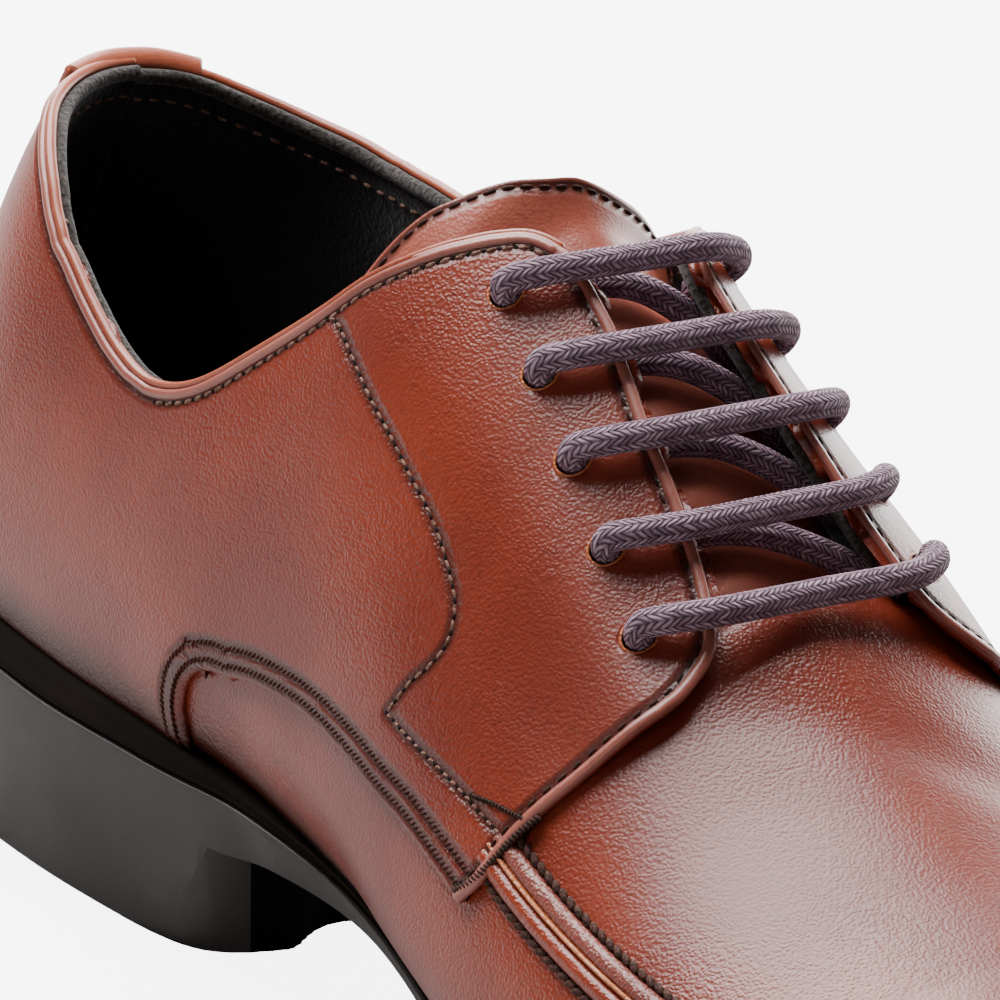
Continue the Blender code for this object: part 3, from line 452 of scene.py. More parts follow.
def near(piece, name, lines):
    """Note each point's distance in millimetres from the nearest of these curves."""
    points = np.concatenate(lines) + np.array(ORIGIN)
    tree = kdtree.KDTree(len(points))
    for n, point in enumerate(points):
        tree.insert(point, n)
    tree.balance()
    note = piece.data.attributes.new(name, "FLOAT", "POINT")
    found = [tree.find(v.co)[2] * 1000 for v in piece.data.vertices]
    note.data.foreach_set("value", found)


def put(piece, slot, *nodes):
    """The piece rides on the shoe, and the nodes that it stands for are hidden. The slot is not used."""
    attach(piece, "root")
    if nodes:
        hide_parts(*nodes)
    return piece


def add(tree, kind, inputs=(), **settings):
    """One shader node; an input is a value or another node's output."""
    made = tree.nodes.new("ShaderNode" + kind)
    for key, value in settings.items():
        setattr(made, key, value)
    for key, value in dict(inputs).items():
        if isinstance(value, bpy.types.NodeSocket):
            tree.links.new(value, made.inputs[key])
        else:
            made.inputs[key].default_value = value
    return made


def ramp(tree, factor, stops, smooth=False):
    made = add(tree, "ValToRGB", {0: factor})
    made.color_ramp.interpolation = "EASE" if smooth else "LINEAR"
    while len(made.color_ramp.elements) < len(stops):
        made.color_ramp.elements.new(0.5)
    for element, (place, colour) in zip(made.color_ramp.elements, stops):
        element.position = place
        element.color = (*colour, 1.0) if len(colour) == 3 else colour
    return made.outputs[0]


def shared(name, inputs, outputs):
    """Empty node group; sockets are (name, kind, default) and (name, kind)."""
    group = bpy.data.node_groups.new(name, "ShaderNodeTree")
    for label, kind, value in inputs:
        made = group.interface.new_socket(name=label, in_out="INPUT", socket_type="NodeSocket" + kind)
        made.default_value = value
    for label, kind in outputs:
        group.interface.new_socket(name=label, in_out="OUTPUT", socket_type="NodeSocket" + kind)
    return group, group.nodes.new("NodeGroupInput"), group.nodes.new("NodeGroupOutput")


def blend(tree, share, first, second):
    """Colour between two, by a share."""
    return add(tree, "Mix", {0: share, 6: first, 7: second}, data_type="RGBA").outputs[2]


def measured(tree, name):
    """Distance from a noted line, in millimetres."""
    return add(tree, "Attribute", attribute_name=name).outputs["Fac"]


def span(tree, value, low, high, first=0.0, last=1.0):
    """The value's share between two limits, smooth at both."""
    return add(tree, "MapRange", {"Value": value, "From Min": low, "From Max": high,
                                  "To Min": first, "To Max": last},
               interpolation_type="SMOOTHSTEP").outputs["Result"]


def grain_group():
    """Fine pebbled grain, with soft creases and the dips that rows of stitches pull."""
    group, inside, outside = shared(
        "leather_grain",
        [("Size", "Float", 2100.0), ("Depth", "Float", 0.7)],
        [("Normal", "Vector")])
    at = add(group, "TexCoord").outputs["Object"]
    bend = add(group, "TexNoise", {"Vector": at, "Scale": 260.0, "Detail": 2.0}).outputs["Color"]
    swayed = add(group, "VectorMath", {0: bend, "Scale": 0.0012}, operation="SCALE").outputs[0]
    moved = add(group, "VectorMath", {0: at, 1: swayed}, operation="ADD").outputs[0]
    cells = add(group, "TexVoronoi", {"Vector": moved, "Scale": inside.outputs["Size"],
                                      "Smoothness": 0.6, "Randomness": 0.9},
                feature="SMOOTH_F1").outputs["Distance"]
    pores = add(group, "TexNoise", {"Vector": at, "Scale": 2600.0, "Detail": 2.0}).outputs["Fac"]
    folds = add(group, "TexNoise", {"Vector": at, "Scale": 55.0, "Detail": 3.0}).outputs["Fac"]
    patches = add(group, "TexNoise", {"Vector": at, "Scale": 28.0, "Detail": 1.0}).outputs["Fac"]
    strength = add(group, "Math", {0: span(group, patches, 0.35, 0.65, 0.55, 1.0),
                                   1: inside.outputs["Depth"]}, operation="MULTIPLY").outputs[0]
    first = add(group, "Bump", {"Strength": strength, "Distance": 0.0003, "Height": cells},
                invert=True).outputs[0]
    second = add(group, "Bump", {"Strength": 0.10, "Distance": 0.0001, "Height": pores,
                                 "Normal": first}).outputs[0]
    third = add(group, "Bump", {"Strength": 0.06, "Distance": 0.0010, "Height": folds,
                                "Normal": second}).outputs[0]
    pull = span(group, measured(group, "seam"), 0.0, 1.5)
    last = add(group, "Bump", {"Strength": 0.9, "Distance": 0.0004, "Height": pull,
                               "Normal": third}).outputs[0]
    group.links.new(last, outside.inputs["Normal"])
    return group


def burnish_and_shade_group():
    """Cloudy browns, darker along the stitch rows and towards the sole: painted shade in the seams' grooves and where
    the upper meets the ledge, together with dark burnish.
    """
    group, inside, outside = shared(
        "leather_burnish_and_shade",
        [("Dark", "Color", (0.05, 0.012, 0.006, 1)), ("Middle", "Color", (0.25, 0.058, 0.026, 1)),
         ("Light", "Color", (0.40, 0.115, 0.055, 1))],
        [("Colour", "Color"), ("Roughness", "Float")])
    at = add(group, "TexCoord").outputs["Object"]
    clouds = add(group, "TexNoise", {"Vector": at, "Scale": 24.0, "Detail": 3.0}).outputs["Fac"]
    flecks = add(group, "TexNoise", {"Vector": at, "Scale": 900.0, "Detail": 3.0}).outputs["Fac"]
    body = blend(group, span(group, clouds, 0.38, 0.66), inside.outputs["Middle"], inside.outputs["Light"])
    # Painted shade: darker within 9 mm of the sole and within 1.8 mm of a stitch row, where the ledge and the seams'
    # grooves shade the leather; partly dark burnish too.
    low = span(group, measured(group, "sole"), 0.5, 9.0, 0.85, 0.0)
    seam = span(group, measured(group, "seam"), 0.2, 1.8, 0.75, 0.0)
    shade_and_burnish = add(group, "Math", {0: low, 1: seam}, operation="MAXIMUM").outputs[0]
    speck = span(group, flecks, 0.52, 0.75, 0.0, 0.22)
    shade = add(group, "Math", {0: shade_and_burnish, 1: speck}, operation="MAXIMUM").outputs[0]
    mixed = blend(group, shade, body, inside.outputs["Dark"])
    group.links.new(mixed, outside.inputs["Colour"])
    group.links.new(span(group, clouds, 0.3, 0.7, 0.38, 0.30), outside.inputs["Roughness"])
    return group


GRAIN = grain_group()
BURNISH_AND_SHADE = burnish_and_shade_group()


def leather(name, dark, middle, light, size=2100.0, depth=0.7, coat=0.08):
    made = bpy.data.materials.new(name)
    made.use_nodes = True
    tree = made.node_tree
    shader = tree.nodes["Principled BSDF"]
    tone = add(tree, "Group", node_tree=BURNISH_AND_SHADE)
    grain = add(tree, "Group", node_tree=GRAIN)
    # Dark is the colour of the painted shade by the sole and the seams, and of the dark flecks.
    for key, value in (("Dark", dark), ("Middle", middle), ("Light", light)):
        tone.inputs[key].default_value = (*value, 1.0)
    grain.inputs["Size"].default_value = size
    grain.inputs["Depth"].default_value = depth
    tree.links.new(tone.outputs["Colour"], shader.inputs["Base Color"])
    tree.links.new(tone.outputs["Roughness"], shader.inputs["Roughness"])
    tree.links.new(grain.outputs["Normal"], shader.inputs["Normal"])
    shader.inputs["Coat Weight"].default_value = coat
    shader.inputs["Coat Roughness"].default_value = 0.30
    shader.inputs["Specular IOR Level"].default_value = 0.45
    return made


EYELETS = 5
EYELET_RADIUS = 0.0022
EYELET_LENGTH = 1.15
EYELET_START = 0.402 * UPPER_LENGTH
EYELET_PITCH = 0.0358 * UPPER_LENGTH
EYELET_INSET = {INNER: 0.0166, OUTER: 0.0150}
EYELET_SPREAD = 0.0013
WIDTH_PLACES = np.linspace(1, 2, 101)
WIDTHS = {side: [HalfSection(place, side) for place in WIDTH_PLACES] for side in (INNER, OUTER)}


def in_plan(along, width):
    """Place, row and side of points on the last's upper side, from their places in plan."""
    along, width = np.broadcast_arrays(np.asarray(along, float), np.asarray(width, float))
    place = 1 + (along / UPPER_LENGTH - HEEL_FAN) / (TOE_FAN - HEEL_FAN)
    side = np.where(width > 0, OUTER, INNER)
    row = 0
    for s in (INNER, OUTER):
        bulge = np.interp(place, WIDTH_PLACES, [half.bulge for half in WIDTHS[s]])
        out = np.interp(place, WIDTH_PLACES, [half.out for half in WIDTHS[s]])
        share = np.clip(np.abs(width) / bulge, 0, 1) ** (out / 2)
        row = row + (side == s) * np.arccos(share) / (math.pi / 2)
    return place, row, side


def over(along, width, lift=0.0):
    place, row, side = in_plan(along, width)
    return on_last(place, row, side, lift)


def eyelet(number, side):
    """Place of one eyelet on the facing's face, and the way out of it."""
    return over(EYELET_START + number * EYELET_PITCH,
                side * (EYELET_INSET[side] + number * EYELET_SPREAD), QUARTER_STEP + FACING_LIFT)


def cut_away(piece, tool):
    """Take one closed tool out of a closed piece, and drop the tool."""
    cut = piece.modifiers.new("cut", "BOOLEAN")
    cut.operation = "DIFFERENCE"
    cut.solver = "EXACT"
    cut.object = tool
    baked(piece)
    bpy.data.objects.remove(tool, do_unlink=True)
    return piece


def punched(piece, side):
    """Cut the five eyelets, a little longer than wide."""
    bm = bmesh.new()
    for number in range(EYELETS):
        centre, out = eyelet(number, side)
        turn = Vector((0, 0, 1)).rotation_difference(Vector(out)).to_matrix().to_4x4()
        place = Matrix.Translation(Vector(centre) + ORIGIN) @ turn @ Matrix.Diagonal((1.0, EYELET_LENGTH, 1.0, 1.0))
        bmesh.ops.create_cone(bm, cap_ends=True, segments=28, radius1=EYELET_RADIUS,
                              radius2=EYELET_RADIUS, depth=0.012, matrix=place)
    mesh = bpy.data.meshes.new("punches")
    bm.to_mesh(mesh)
    bm.free()
    tool = bpy.data.objects.new("punches", mesh)
    bpy.context.scene.collection.objects.link(tool)
    return cut_away(piece, tool)


CALF = leather("burnished_calf", (0.020, 0.003, 0.002), (0.160, 0.018, 0.007), (0.240, 0.034, 0.014), depth=0.4)


def quarter_edges(side):
    """Perimeter of one quarter: over the top to the front, down it and back along the low edge."""
    return track(TOP_EDGE[side], 420), track(FRONT_EDGE[side], 120), track(LOW_EDGE[side], 300)


EYESTAY = {}
for side in (INNER, OUTER):
    EYESTAY[side] = [track([(1.303, 0.435 if side == INNER else 0.495), (1.325, 0.446), (1.355, 0.434), (1.395, 0.419),
                            (1.429, 0.414), (1.459, 0.410), (1.486, 0.411), (1.509, 0.408),
                            (1.530, 0.399), (1.546, 0.385), (1.555, 0.349), (1.550, 0.303),
                            (1.539, 0.258), (1.527, 0.195)], 160),
                     track([(1.527, 0.195), (1.574, 0.222), (1.626, 0.251), (1.678, 0.271)], 60)]


def joined(first, second):
    """The second piece's mesh welded to the first along the line that they share."""
    bm = bmesh.new()
    bm.from_mesh(first.data)
    bm.from_mesh(second.data)
    bmesh.ops.remove_doubles(bm, verts=bm.verts, dist=WELD)
    bm.to_mesh(first.data)
    bm.free()
    spare = second.data
    bpy.data.objects.remove(second)
    bpy.data.meshes.remove(spare)
    return first


def quarter(side):
    word = "inner" if side == INNER else "outer"
    top, front, low = quarter_edges(side)
    low = low[::-1]
    corner = int(np.argmax(low[:, 1] >= PATCH_ROW))
    base = track([(0.0, -1.0), (0.6, -1.0), (LOW_CORNER[-1][0], -1.0)], 150)
    girth = np.stack([np.linspace(0, low[corner, 0], 111), np.full(111, low[corner, 1])], 1)
    whole = track(TOP_EDGE[side], 1200)
    split = int(np.searchsorted(whole[:, 0], COLLAR_DIP))
    high_line = np.concatenate([resampled(whole[:split + 1], 111), resampled(whole[split:], 121)[1:]])
    behind = np.array([[0.0, -1.0], girth[0], TOP_EDGE[side][0]])
    even = np.linspace(0, 1, 60)
    lower = filled(resampled(base, 111), girth, np.stack([np.interp(even, (0, 1), behind[:2, k]) for k in (0, 1)], 1),
                   low[:corner + 1], 0.5 - 0.5 * np.cos(np.linspace(0, math.pi, 72)))
    middle = np.concatenate([girth, resampled(low[corner:], 121)[1:]])
    higher = filled(middle, high_line, np.stack([np.interp(even, (0, 1), behind[1:, k]) for k in (0, 1)], 1),
                    front[::-1], 0.5 - 0.5 * np.cos(np.linspace(0, math.pi, 72)))
    rim = [on_quarter(line[:, 0], line[:, 1], side)[0] for line in (top, front, low)]
    patches = []
    for cells in (lower, higher):
        points, outs = on_quarter(cells[..., 0], cells[..., 1], side)
        turned = np.clip(1 - away(points, rim) / EDGE_TURN, 0, 1)
        points = points - outs * (EDGE_DROP * (1 - np.sqrt(1 - turned**2)))[..., None]
        patches.append(shaped_grid("quarter_" + word, points, CALF, flip=side == OUTER))
    low = low[::-1]
    piece = joined(*patches)
    thickened(piece, QUARTER_WALL)
    punched(piece, side)
    near(piece, "edge", rim)
    rows = [inset(top, side, 0.0019), inset(front, side, 0.0019), inset(low, side, 0.0015),
            inset(low, side, 0.0037)] + EYESTAY[side]
    near(piece, "seam", [on_quarter(line[:, 0], line[:, 1], side)[0] for line in rows])
    near(piece, "sole", [on_quarter(base[:, 0], base[:, 1], side)[0]])
    return put(piece, "burnished_leather", "upper")


QUARTERS = {side: quarter(side) for side in (INNER, OUTER)}

# Vamp
# The side wall of the forepart, one piece round the toe. It runs under the quarters at the
# rear and meets the apron at a raised seam.
VAMP_TOP = [(1.20, 0.10), (1.30, 0.12), (1.45, 0.17), (1.60, 0.23), (1.66, 0.243), (1.70, 0.244),
            (1.758, 0.249), (1.822, 0.261), (1.90, 0.283), (2.0, 0.315), (2.3, 0.35), (3.0, 0.36)]
VAMP_COLUMNS = 230
VAMP_START = 1.20


def seam_row(place):
    return through(VAMP_TOP, place)


def round_toe(start, count):
    """Places and sides from one side of the shoe round the toe to the other."""
    half = np.linspace(start, 3, count)
    return np.concatenate([half, half[-2::-1]]), np.array([INNER] * count + [OUTER] * (count - 1))


places, sides = round_toe(VAMP_START, VAMP_COLUMNS)
tops = np.array([seam_row(place) for place in places])
levels = np.linspace(0, 1, 46)
rows = -1 + (tops[:, None] + 1) * levels
points, _ = on_last(places[:, None], rows, sides[:, None])
vamp = shaped_grid("vamp", points, CALF)
thickened(vamp, 0.0013)
near(vamp, "sole", [points[:, 0]])
near(vamp, "seam", [points[:, -1]])
near(vamp, "edge", [points[:, -1]])
put(vamp, "burnished_leather", "upper")

# Apron
# The top of the forepart, set into the vamp inside the raised seam.
APRON_START = 1.69
CREASE = [((172.0, -17.0), (189.0, 14.0), 0.0004, 5.0)]
half = np.linspace(APRON_START, 3, 190)
seam = np.array([seam_row(place) for place in half])[:, None]
rise = np.linspace(0, 1, 50)
rows = seam + (1 - seam) * rise
inner, inner_out = on_last(half[:, None], rows, INNER)
outer, outer_out = on_last(half[:, None], rows[:, ::-1], OUTER)
points = np.concatenate([inner[:, :-1], outer], axis=1)
outs = np.concatenate([inner_out[:, :-1], outer_out], axis=1)


def trough(points, start, end, depth, width):
    """How deep a soft crease between two places in plan presses each point, in metres."""
    start, end = (np.array(place) / 1000 for place in (start, end))
    way = end - start
    flat = points[..., :2] - start
    share = np.clip((flat @ way) / (way @ way), 0, 1)
    away = np.linalg.norm(flat - share[..., None] * way, axis=-1) * 1000
    return depth * np.exp(-(away / width) ** 2)


sink = sum(trough(points, *crease) for crease in CREASE)
apron = shaped_grid("apron", points - outs * sink[..., None], CALF, weld=True)
thickened(apron, 0.0013)
edge = np.concatenate([points[:, 0], points[:, -1]])
near(apron, "seam", [edge])
near(apron, "edge", [edge])
near(apron, "sole", [np.array([[0.0, 0.0, -1.0]])])
put(apron, "burnished_leather", "upper")

# Apron seam
# Two rolled strips of leather stand side by side over the join, with the raw edge between
# them and a row of twisted waxed thread on either side.
def swept(name, centres, outs, half_width, half_height, finish, sides=12, size=None):
    """Rounded strip along a curve, closed at both ends."""
    ahead = np.gradient(centres, axis=0)
    ahead /= np.linalg.norm(ahead, axis=1, keepdims=True)
    across = np.cross(outs, ahead)
    across /= np.linalg.norm(across, axis=1, keepdims=True)
    centres = np.concatenate([centres[:1] - ahead[:1] * half_height, centres, centres[-1:] + ahead[-1:] * half_height])
    outs = np.concatenate([outs[:1], outs, outs[-1:]])
    across = np.concatenate([across[:1], across, across[-1:]])
    fit = np.ones(len(centres))
    fit[[0, -1]] = 0.0
    turn = np.linspace(0, 2 * math.pi, sides + 1)
    ring = (across[:, None] * (half_width * np.cos(turn))[None, :, None]
            + outs[:, None] * (half_height * np.sin(turn))[None, :, None])
    grid = centres[:, None] + ring * fit[:, None, None]
    return shaped_grid(name, grid, finish, flip=True, weld=True, size=size)


def spaced(points, outs, pitch, start=0.5):
    """Points, tangents and outward ways at even steps of about one pitch along a curve."""
    gaps = np.linalg.norm(np.diff(points, axis=0), axis=1)
    reach = np.concatenate([[0.0], np.cumsum(gaps)])
    count = max(int(round(reach[-1] / pitch)), 2)
    even = (np.arange(count) + start) * reach[-1] / count

    def at(values):
        return np.stack([np.interp(even, reach, values[:, k]) for k in range(3)], 1)

    found, out = at(points), at(outs)
    ahead = at(np.gradient(points, axis=0))
    return (found, ahead / np.linalg.norm(ahead, axis=1, keepdims=True),
            out / np.linalg.norm(out, axis=1, keepdims=True))


def sewn(name, points, outs, pitch, size, finish, tilt=0.0, lift=0.0, seed=1, start=0.5):
    """A row of stitches: one small rounded body each, with a little spread in length and turn."""
    draw = random.Random(seed)
    bm = bmesh.new()
    long, wide, high = size
    for place, ahead, out in zip(*spaced(points, outs, pitch, start)):
        turn = Matrix.Rotation(tilt + draw.uniform(-0.05, 0.05), 3, Vector(out))
        along = turn @ Vector(ahead)
        beside = Vector(out).cross(along)
        grown = draw.uniform(0.94, 1.06)
        body = Matrix((along * long / 2 * grown, beside * wide / 2, Vector(out) * high / 2)).transposed().to_4x4()
        body.translation = Vector(place) + Vector(out) * lift + ORIGIN
        bmesh.ops.create_uvsphere(bm, u_segments=8, v_segments=6, radius=1.0, matrix=body)
    for face in bm.faces:
        face.smooth = True
    bmesh.ops.recalc_face_normals(bm, faces=bm.faces)
    mesh = bpy.data.meshes.new(name)
    bm.to_mesh(mesh)
    bm.free()
    made = bpy.data.objects.new(name, mesh)
    bpy.context.scene.collection.objects.link(made)
    made.data.materials.append(finish)
    return made


def thread(name, colour, light, roughness=0.75):
    """Waxed linen thread: fine fibres, lighter on their high spots, which is painted highlight together with a pale
    waxy tone.
    """
    made = bpy.data.materials.new(name)
    made.use_nodes = True
    tree = made.node_tree
    shader = tree.nodes["Principled BSDF"]
    at = add(tree, "TexCoord").outputs["Object"]
    fibre = add(tree, "TexNoise", {"Vector": at, "Scale": 2400.0, "Detail": 3.0}).outputs["Fac"]
    # Painted highlight, with the thread's own pale tone: the fibres' high spots take the light colour.
    tint = ramp(tree, fibre, [(0.35, colour), (0.75, light)])
    tree.links.new(tint, shader.inputs["Base Color"])
    bump = add(tree, "Bump", {"Strength": 0.6, "Distance": 0.0002, "Height": fibre}).outputs[0]
    tree.links.new(bump, shader.inputs["Normal"])
    shader.inputs["Roughness"].default_value = roughness
    shader.inputs["Specular IOR Level"].default_value = 0.2
    return made


DARK_THREAD = thread("dark_thread", (0.018, 0.007, 0.005), (0.12, 0.050, 0.034))
PLUM_CALF = leather("plum_calf", (0.025, 0.006, 0.004), (0.15, 0.030, 0.019), (0.24, 0.062, 0.045))
RAW_EDGE = leather("raw_edge", (0.08, 0.016, 0.005), (0.36, 0.085, 0.024), (0.50, 0.15, 0.055), coat=0.0)
RIDGE_START = 1.672

places, sides = round_toe(RIDGE_START, 260)
rows = np.array([seam_row(place) for place in places])
spine, spine_out = on_last(places, rows, sides)
forward = np.gradient(spine, axis=0)
forward /= np.linalg.norm(forward, axis=1, keepdims=True)
uphill = np.cross(spine_out, forward)
for name, off, high, half_width, half_height, finish in (
        ("ridge_lower_roll", -0.0015, 0.0004, 0.00135, 0.0013, CALF),
        ("ridge_upper_roll", 0.0015, 0.0003, 0.00135, 0.0012, PLUM_CALF),
        ("ridge_raw_edge", 0.0001, 0.0006, 0.0004, 0.0011, RAW_EDGE)):
    piece = swept(name, spine + uphill * off + spine_out * high, spine_out, half_width, half_height, finish)
    near(piece, "seam", [spine + uphill * off * 3])
    near(piece, "edge", [spine])
    near(piece, "sole", [np.array([[0.0, 0.0, -1.0]])])
    put(piece, "burnished_leather", "upper")
for name, off, tilt in (("ridge_lower_thread", -0.0034, 0.42), ("ridge_upper_thread", 0.0034, -0.42)):
    piece = sewn(name, spine + uphill * off, spine_out, 0.0018, (0.0024, 0.0011, 0.0010), DARK_THREAD,
                 tilt=tilt, lift=0.0002)
    put(piece, "burnished_leather", "upper")

# Turned edges
# The facings, the collar and the front are bound with a narrow strip of the same calf. It
# shows as a glossy bead between the edge and a stitched groove.
EDGE_CALF = leather("edge_calf", (0.02, 0.005, 0.003), (0.250, 0.062, 0.042), (0.350, 0.115, 0.085), depth=0.12, coat=0.25)
SALMON = leather("salmon_edge", (0.10, 0.02, 0.010), (0.300, 0.060, 0.026), (0.400, 0.100, 0.052), depth=0.12, coat=0.15)
COLLAR_END = 1.44
PALE_THREAD = thread("pale_thread", (0.070, 0.028, 0.018), (0.36, 0.20, 0.15))
BROWN_THREAD = thread("brown_thread", (0.014, 0.005, 0.004), (0.070, 0.024, 0.015))
FINE_THREAD = thread("fine_thread", (0.018, 0.004, 0.002), (0.095, 0.022, 0.012), roughness=0.9)
# Near-black dots for the needle holes: painted shade inside the holes.
PINHOLE_SHADE = thread("pinhole_shade", (0.004, 0.001, 0.001), (0.012, 0.004, 0.003), roughness=0.9)


def part_of(line, low, high):
    """The stretch of a line between two places."""
    return line[(line[:, 0] >= low) & (line[:, 0] <= high)]


def marked(piece, edge_lines=(), seam_lines=()):
    """Edge, seam and sole distances for a piece that lies clear of the sole."""
    far = [np.array([[0.0, 0.0, -1.0]])]
    near(piece, "edge", list(edge_lines) or far)
    near(piece, "seam", list(seam_lines) or far)
    near(piece, "sole", far)
    return piece


for side in (INNER, OUTER):
    word = "inner" if side == INNER else "outer"
    top, front, low = quarter_edges(side)
    facing = np.concatenate([part_of(top, 1.36, 1.70), front[1:]])
    collar = part_of(top, 0.0, COLLAR_END)

    line = inset(facing, side, 0.0009)
    centres, outs = on_quarter(line[:, 0], line[:, 1], side, -0.0002)
    bead = swept("facing_bead_" + word, centres, outs, 0.00085, 0.0006, EDGE_CALF)
    put(marked(bead), "burnished_leather", "upper")

    centres, outs = on_quarter(collar[:, 0], collar[:, 1], side, -0.0007)
    bead = swept("collar_bead_" + word, centres, outs, 0.0006, 0.0008, SALMON)
    put(marked(bead), "burnished_leather", "upper")
    line = inset(collar, side, 0.0012)
    centres, outs = on_quarter(line[:, 0], line[:, 1], side, -0.0001)
    bead = swept("collar_ridge_" + word, centres, outs, 0.0007, 0.0006, EDGE_CALF)
    put(marked(bead), "burnished_leather", "upper")

    for name, line, pitch, size, finish, tilt in (
            ("facing_stitches_", inset(facing, side, 0.0021), 0.0024, (0.0015, 0.0005, 0.0005), BROWN_THREAD, 0.1),
            ("collar_stitches_", inset(part_of(top, 1.16, 1.45), side, 0.0024), 0.0021,
             (0.0016, 0.0006, 0.0005), PALE_THREAD, 0.16),
            ("low_stitches_", inset(low, side, 0.0015), 0.00092, (0.0011, 0.00046, 0.0004), FINE_THREAD, 0.75),
            ("upper_low_stitches_", inset(low, side, 0.0037), 0.00092, (0.0011, 0.00046, 0.0004), FINE_THREAD, 0.75),
            ("eyestay_stitches_", EYESTAY[side][0], 0.0020, (0.0014, 0.0005, 0.00045), PALE_THREAD, 0.14),
            ("eyestay_low_stitches_", EYESTAY[side][1], 0.0018, (0.0012, 0.00045, 0.0004), PALE_THREAD, 0.14)):
        centres, outs = on_quarter(line[:, 0], line[:, 1], side)
        piece = sewn(name + word, centres, outs, pitch, size, finish, tilt=tilt * -side)
        put(piece, "burnished_leather", "upper")
        # Painted shade: a near-black dot sunk into each needle hole between the pale stitches.
        if finish is PALE_THREAD:
            hole_shades = sewn(name.replace("stitches", "pinhole_shades") + word, centres, outs, pitch,
                         (0.0008, 0.0006, 0.0003), PINHOLE_SHADE, lift=-0.00002, start=0.0)
            put(hole_shades, "burnished_leather", "upper")

# Bar tack
# A triangle of closely whipped thread where the facing's front corner is sewn to the vamp.
for side in (INNER, OUTER):
    word = "inner" if side == INNER else "outer"
    corner = track([(1.660, 0.145), (1.672, 0.180), (1.682, 0.230), (1.692, 0.300), (1.700, 0.345)], 60)
    flank = track([(1.636, 0.262), (1.660, 0.290), (1.690, 0.320)], 40)
    for name, line, width in (("tack_front_", corner, 0.0015), ("tack_flank_", flank, 0.0008)):
        centres, outs = on_quarter(line[:, 0], line[:, 1], side, 0.0001)
        piece = sewn(name + word, centres, outs, 0.0006, (0.0006, width, 0.0008), BROWN_THREAD, tilt=0.5, seed=5)
        put(piece, "burnished_leather", "upper")

# Eyelet rims
# The punched holes have no metal: the cut shows raw orange leather.
for side in (INNER, OUTER):
    word = "inner" if side == INNER else "outer"
    for number in range(EYELETS):
        centre, out = eyelet(number, side)
        turn = np.linspace(0, 2 * math.pi, 33)
        ahead = np.array([1.0, 0.0, 0.0]) - out * out[0]
        ahead /= np.linalg.norm(ahead)
        beside = np.cross(out, ahead)
        ring = (centre + EYELET_RADIUS * (ahead * np.cos(turn)[:, None] + EYELET_LENGTH * beside * np.sin(turn)[:, None])
                - out * 0.0003)
        piece = swept(f"eyelet_rim_{word}_{number + 1}", ring, np.repeat(out[None], 33, 0), 0.00025, 0.0004, RAW_EDGE, sides=8)
        put(marked(piece), "burnished_leather", "upper")

# Lining
# Black brushed cloth behind the quarters. Its turned top stands as a fuzzy roll inside the
# collar and the facings, with a row of pale stitches a little below it.
LINING_DEPTH = 0.0021


def cloth(name, dark, light, scale=1500.0, roughness=0.95):
    made = bpy.data.materials.new(name)
    made.use_nodes = True
    tree = made.node_tree
    shader = tree.nodes["Principled BSDF"]
    at = add(tree, "TexCoord").outputs["Object"]
    fuzz = add(tree, "TexNoise", {"Vector": at, "Scale": scale, "Detail": 4.0}).outputs["Fac"]
    wide = add(tree, "TexNoise", {"Vector": at, "Scale": 60.0, "Detail": 2.0}).outputs["Fac"]
    tint = ramp(tree, fuzz, [(0.35, dark), (0.72, light)])
    faded = blend(tree, span(tree, wide, 0.3, 0.75, 0.0, 0.6), tint, (*dark, 1.0))
    tree.links.new(faded, shader.inputs["Base Color"])
    bump = add(tree, "Bump", {"Strength": 0.9, "Distance": 0.0004, "Height": fuzz}).outputs[0]
    tree.links.new(bump, shader.inputs["Normal"])
    shader.inputs["Roughness"].default_value = roughness
    shader.inputs["Specular IOR Level"].default_value = 0.15
    shader.inputs["Sheen Weight"].default_value = 0.25
    return made


ROLL_CLOTH = cloth("lining_roll_cloth", (0.010, 0.008, 0.007), (0.085, 0.070, 0.062))
SOCK_CLOTH = cloth("lining_cloth", (0.004, 0.003, 0.003), (0.020, 0.014, 0.012), roughness=0.7)
for side in (INNER, OUTER):
    word = "inner" if side == INNER else "outer"
    top = track(TOP_EDGE[side], 420)
    edge = inset(top, side, 0.0008)
    centres, outs = on_quarter(edge[:, 0], edge[:, 1], side, -QUARTER_WALL - 0.0011)
    piece = swept("lining_roll_" + word, centres, outs, 0.0012, 0.0010, ROLL_CLOTH)
    put(piece, "lining_cloth", "upper")
    line = inset(top, side, 0.0012)[::2]
    base = np.stack([np.linspace(0, 1.66, len(line)), np.full(len(line), -1.0)], 1)
    cells = base[:, None] * (1 - np.linspace(0, 1, 50))[None, :, None] + line[:, None] * np.linspace(0, 1, 50)[None, :, None]
    points, outs = on_quarter(cells[..., 0], cells[..., 1], side, -QUARTER_WALL - 0.0012)
    piece = shaped_grid("lining_" + word, points, SOCK_CLOTH, flip=side == OUTER)
    thickened(piece, 0.0006)
    put(piece, "lining_cloth", "upper")
    line = inset(part_of(top, 0.0, 1.40), side, 0.0042)
    centres, outs = on_quarter(line[:, 0], line[:, 1], side, -QUARTER_WALL - 0.0019)
    piece = sewn("lining_stitches_" + word, centres, -outs, 0.0026, (0.0016, 0.0005, 0.0006), PALE_THREAD, lift=0.0001)
    put(piece, "lining_cloth", "upper")

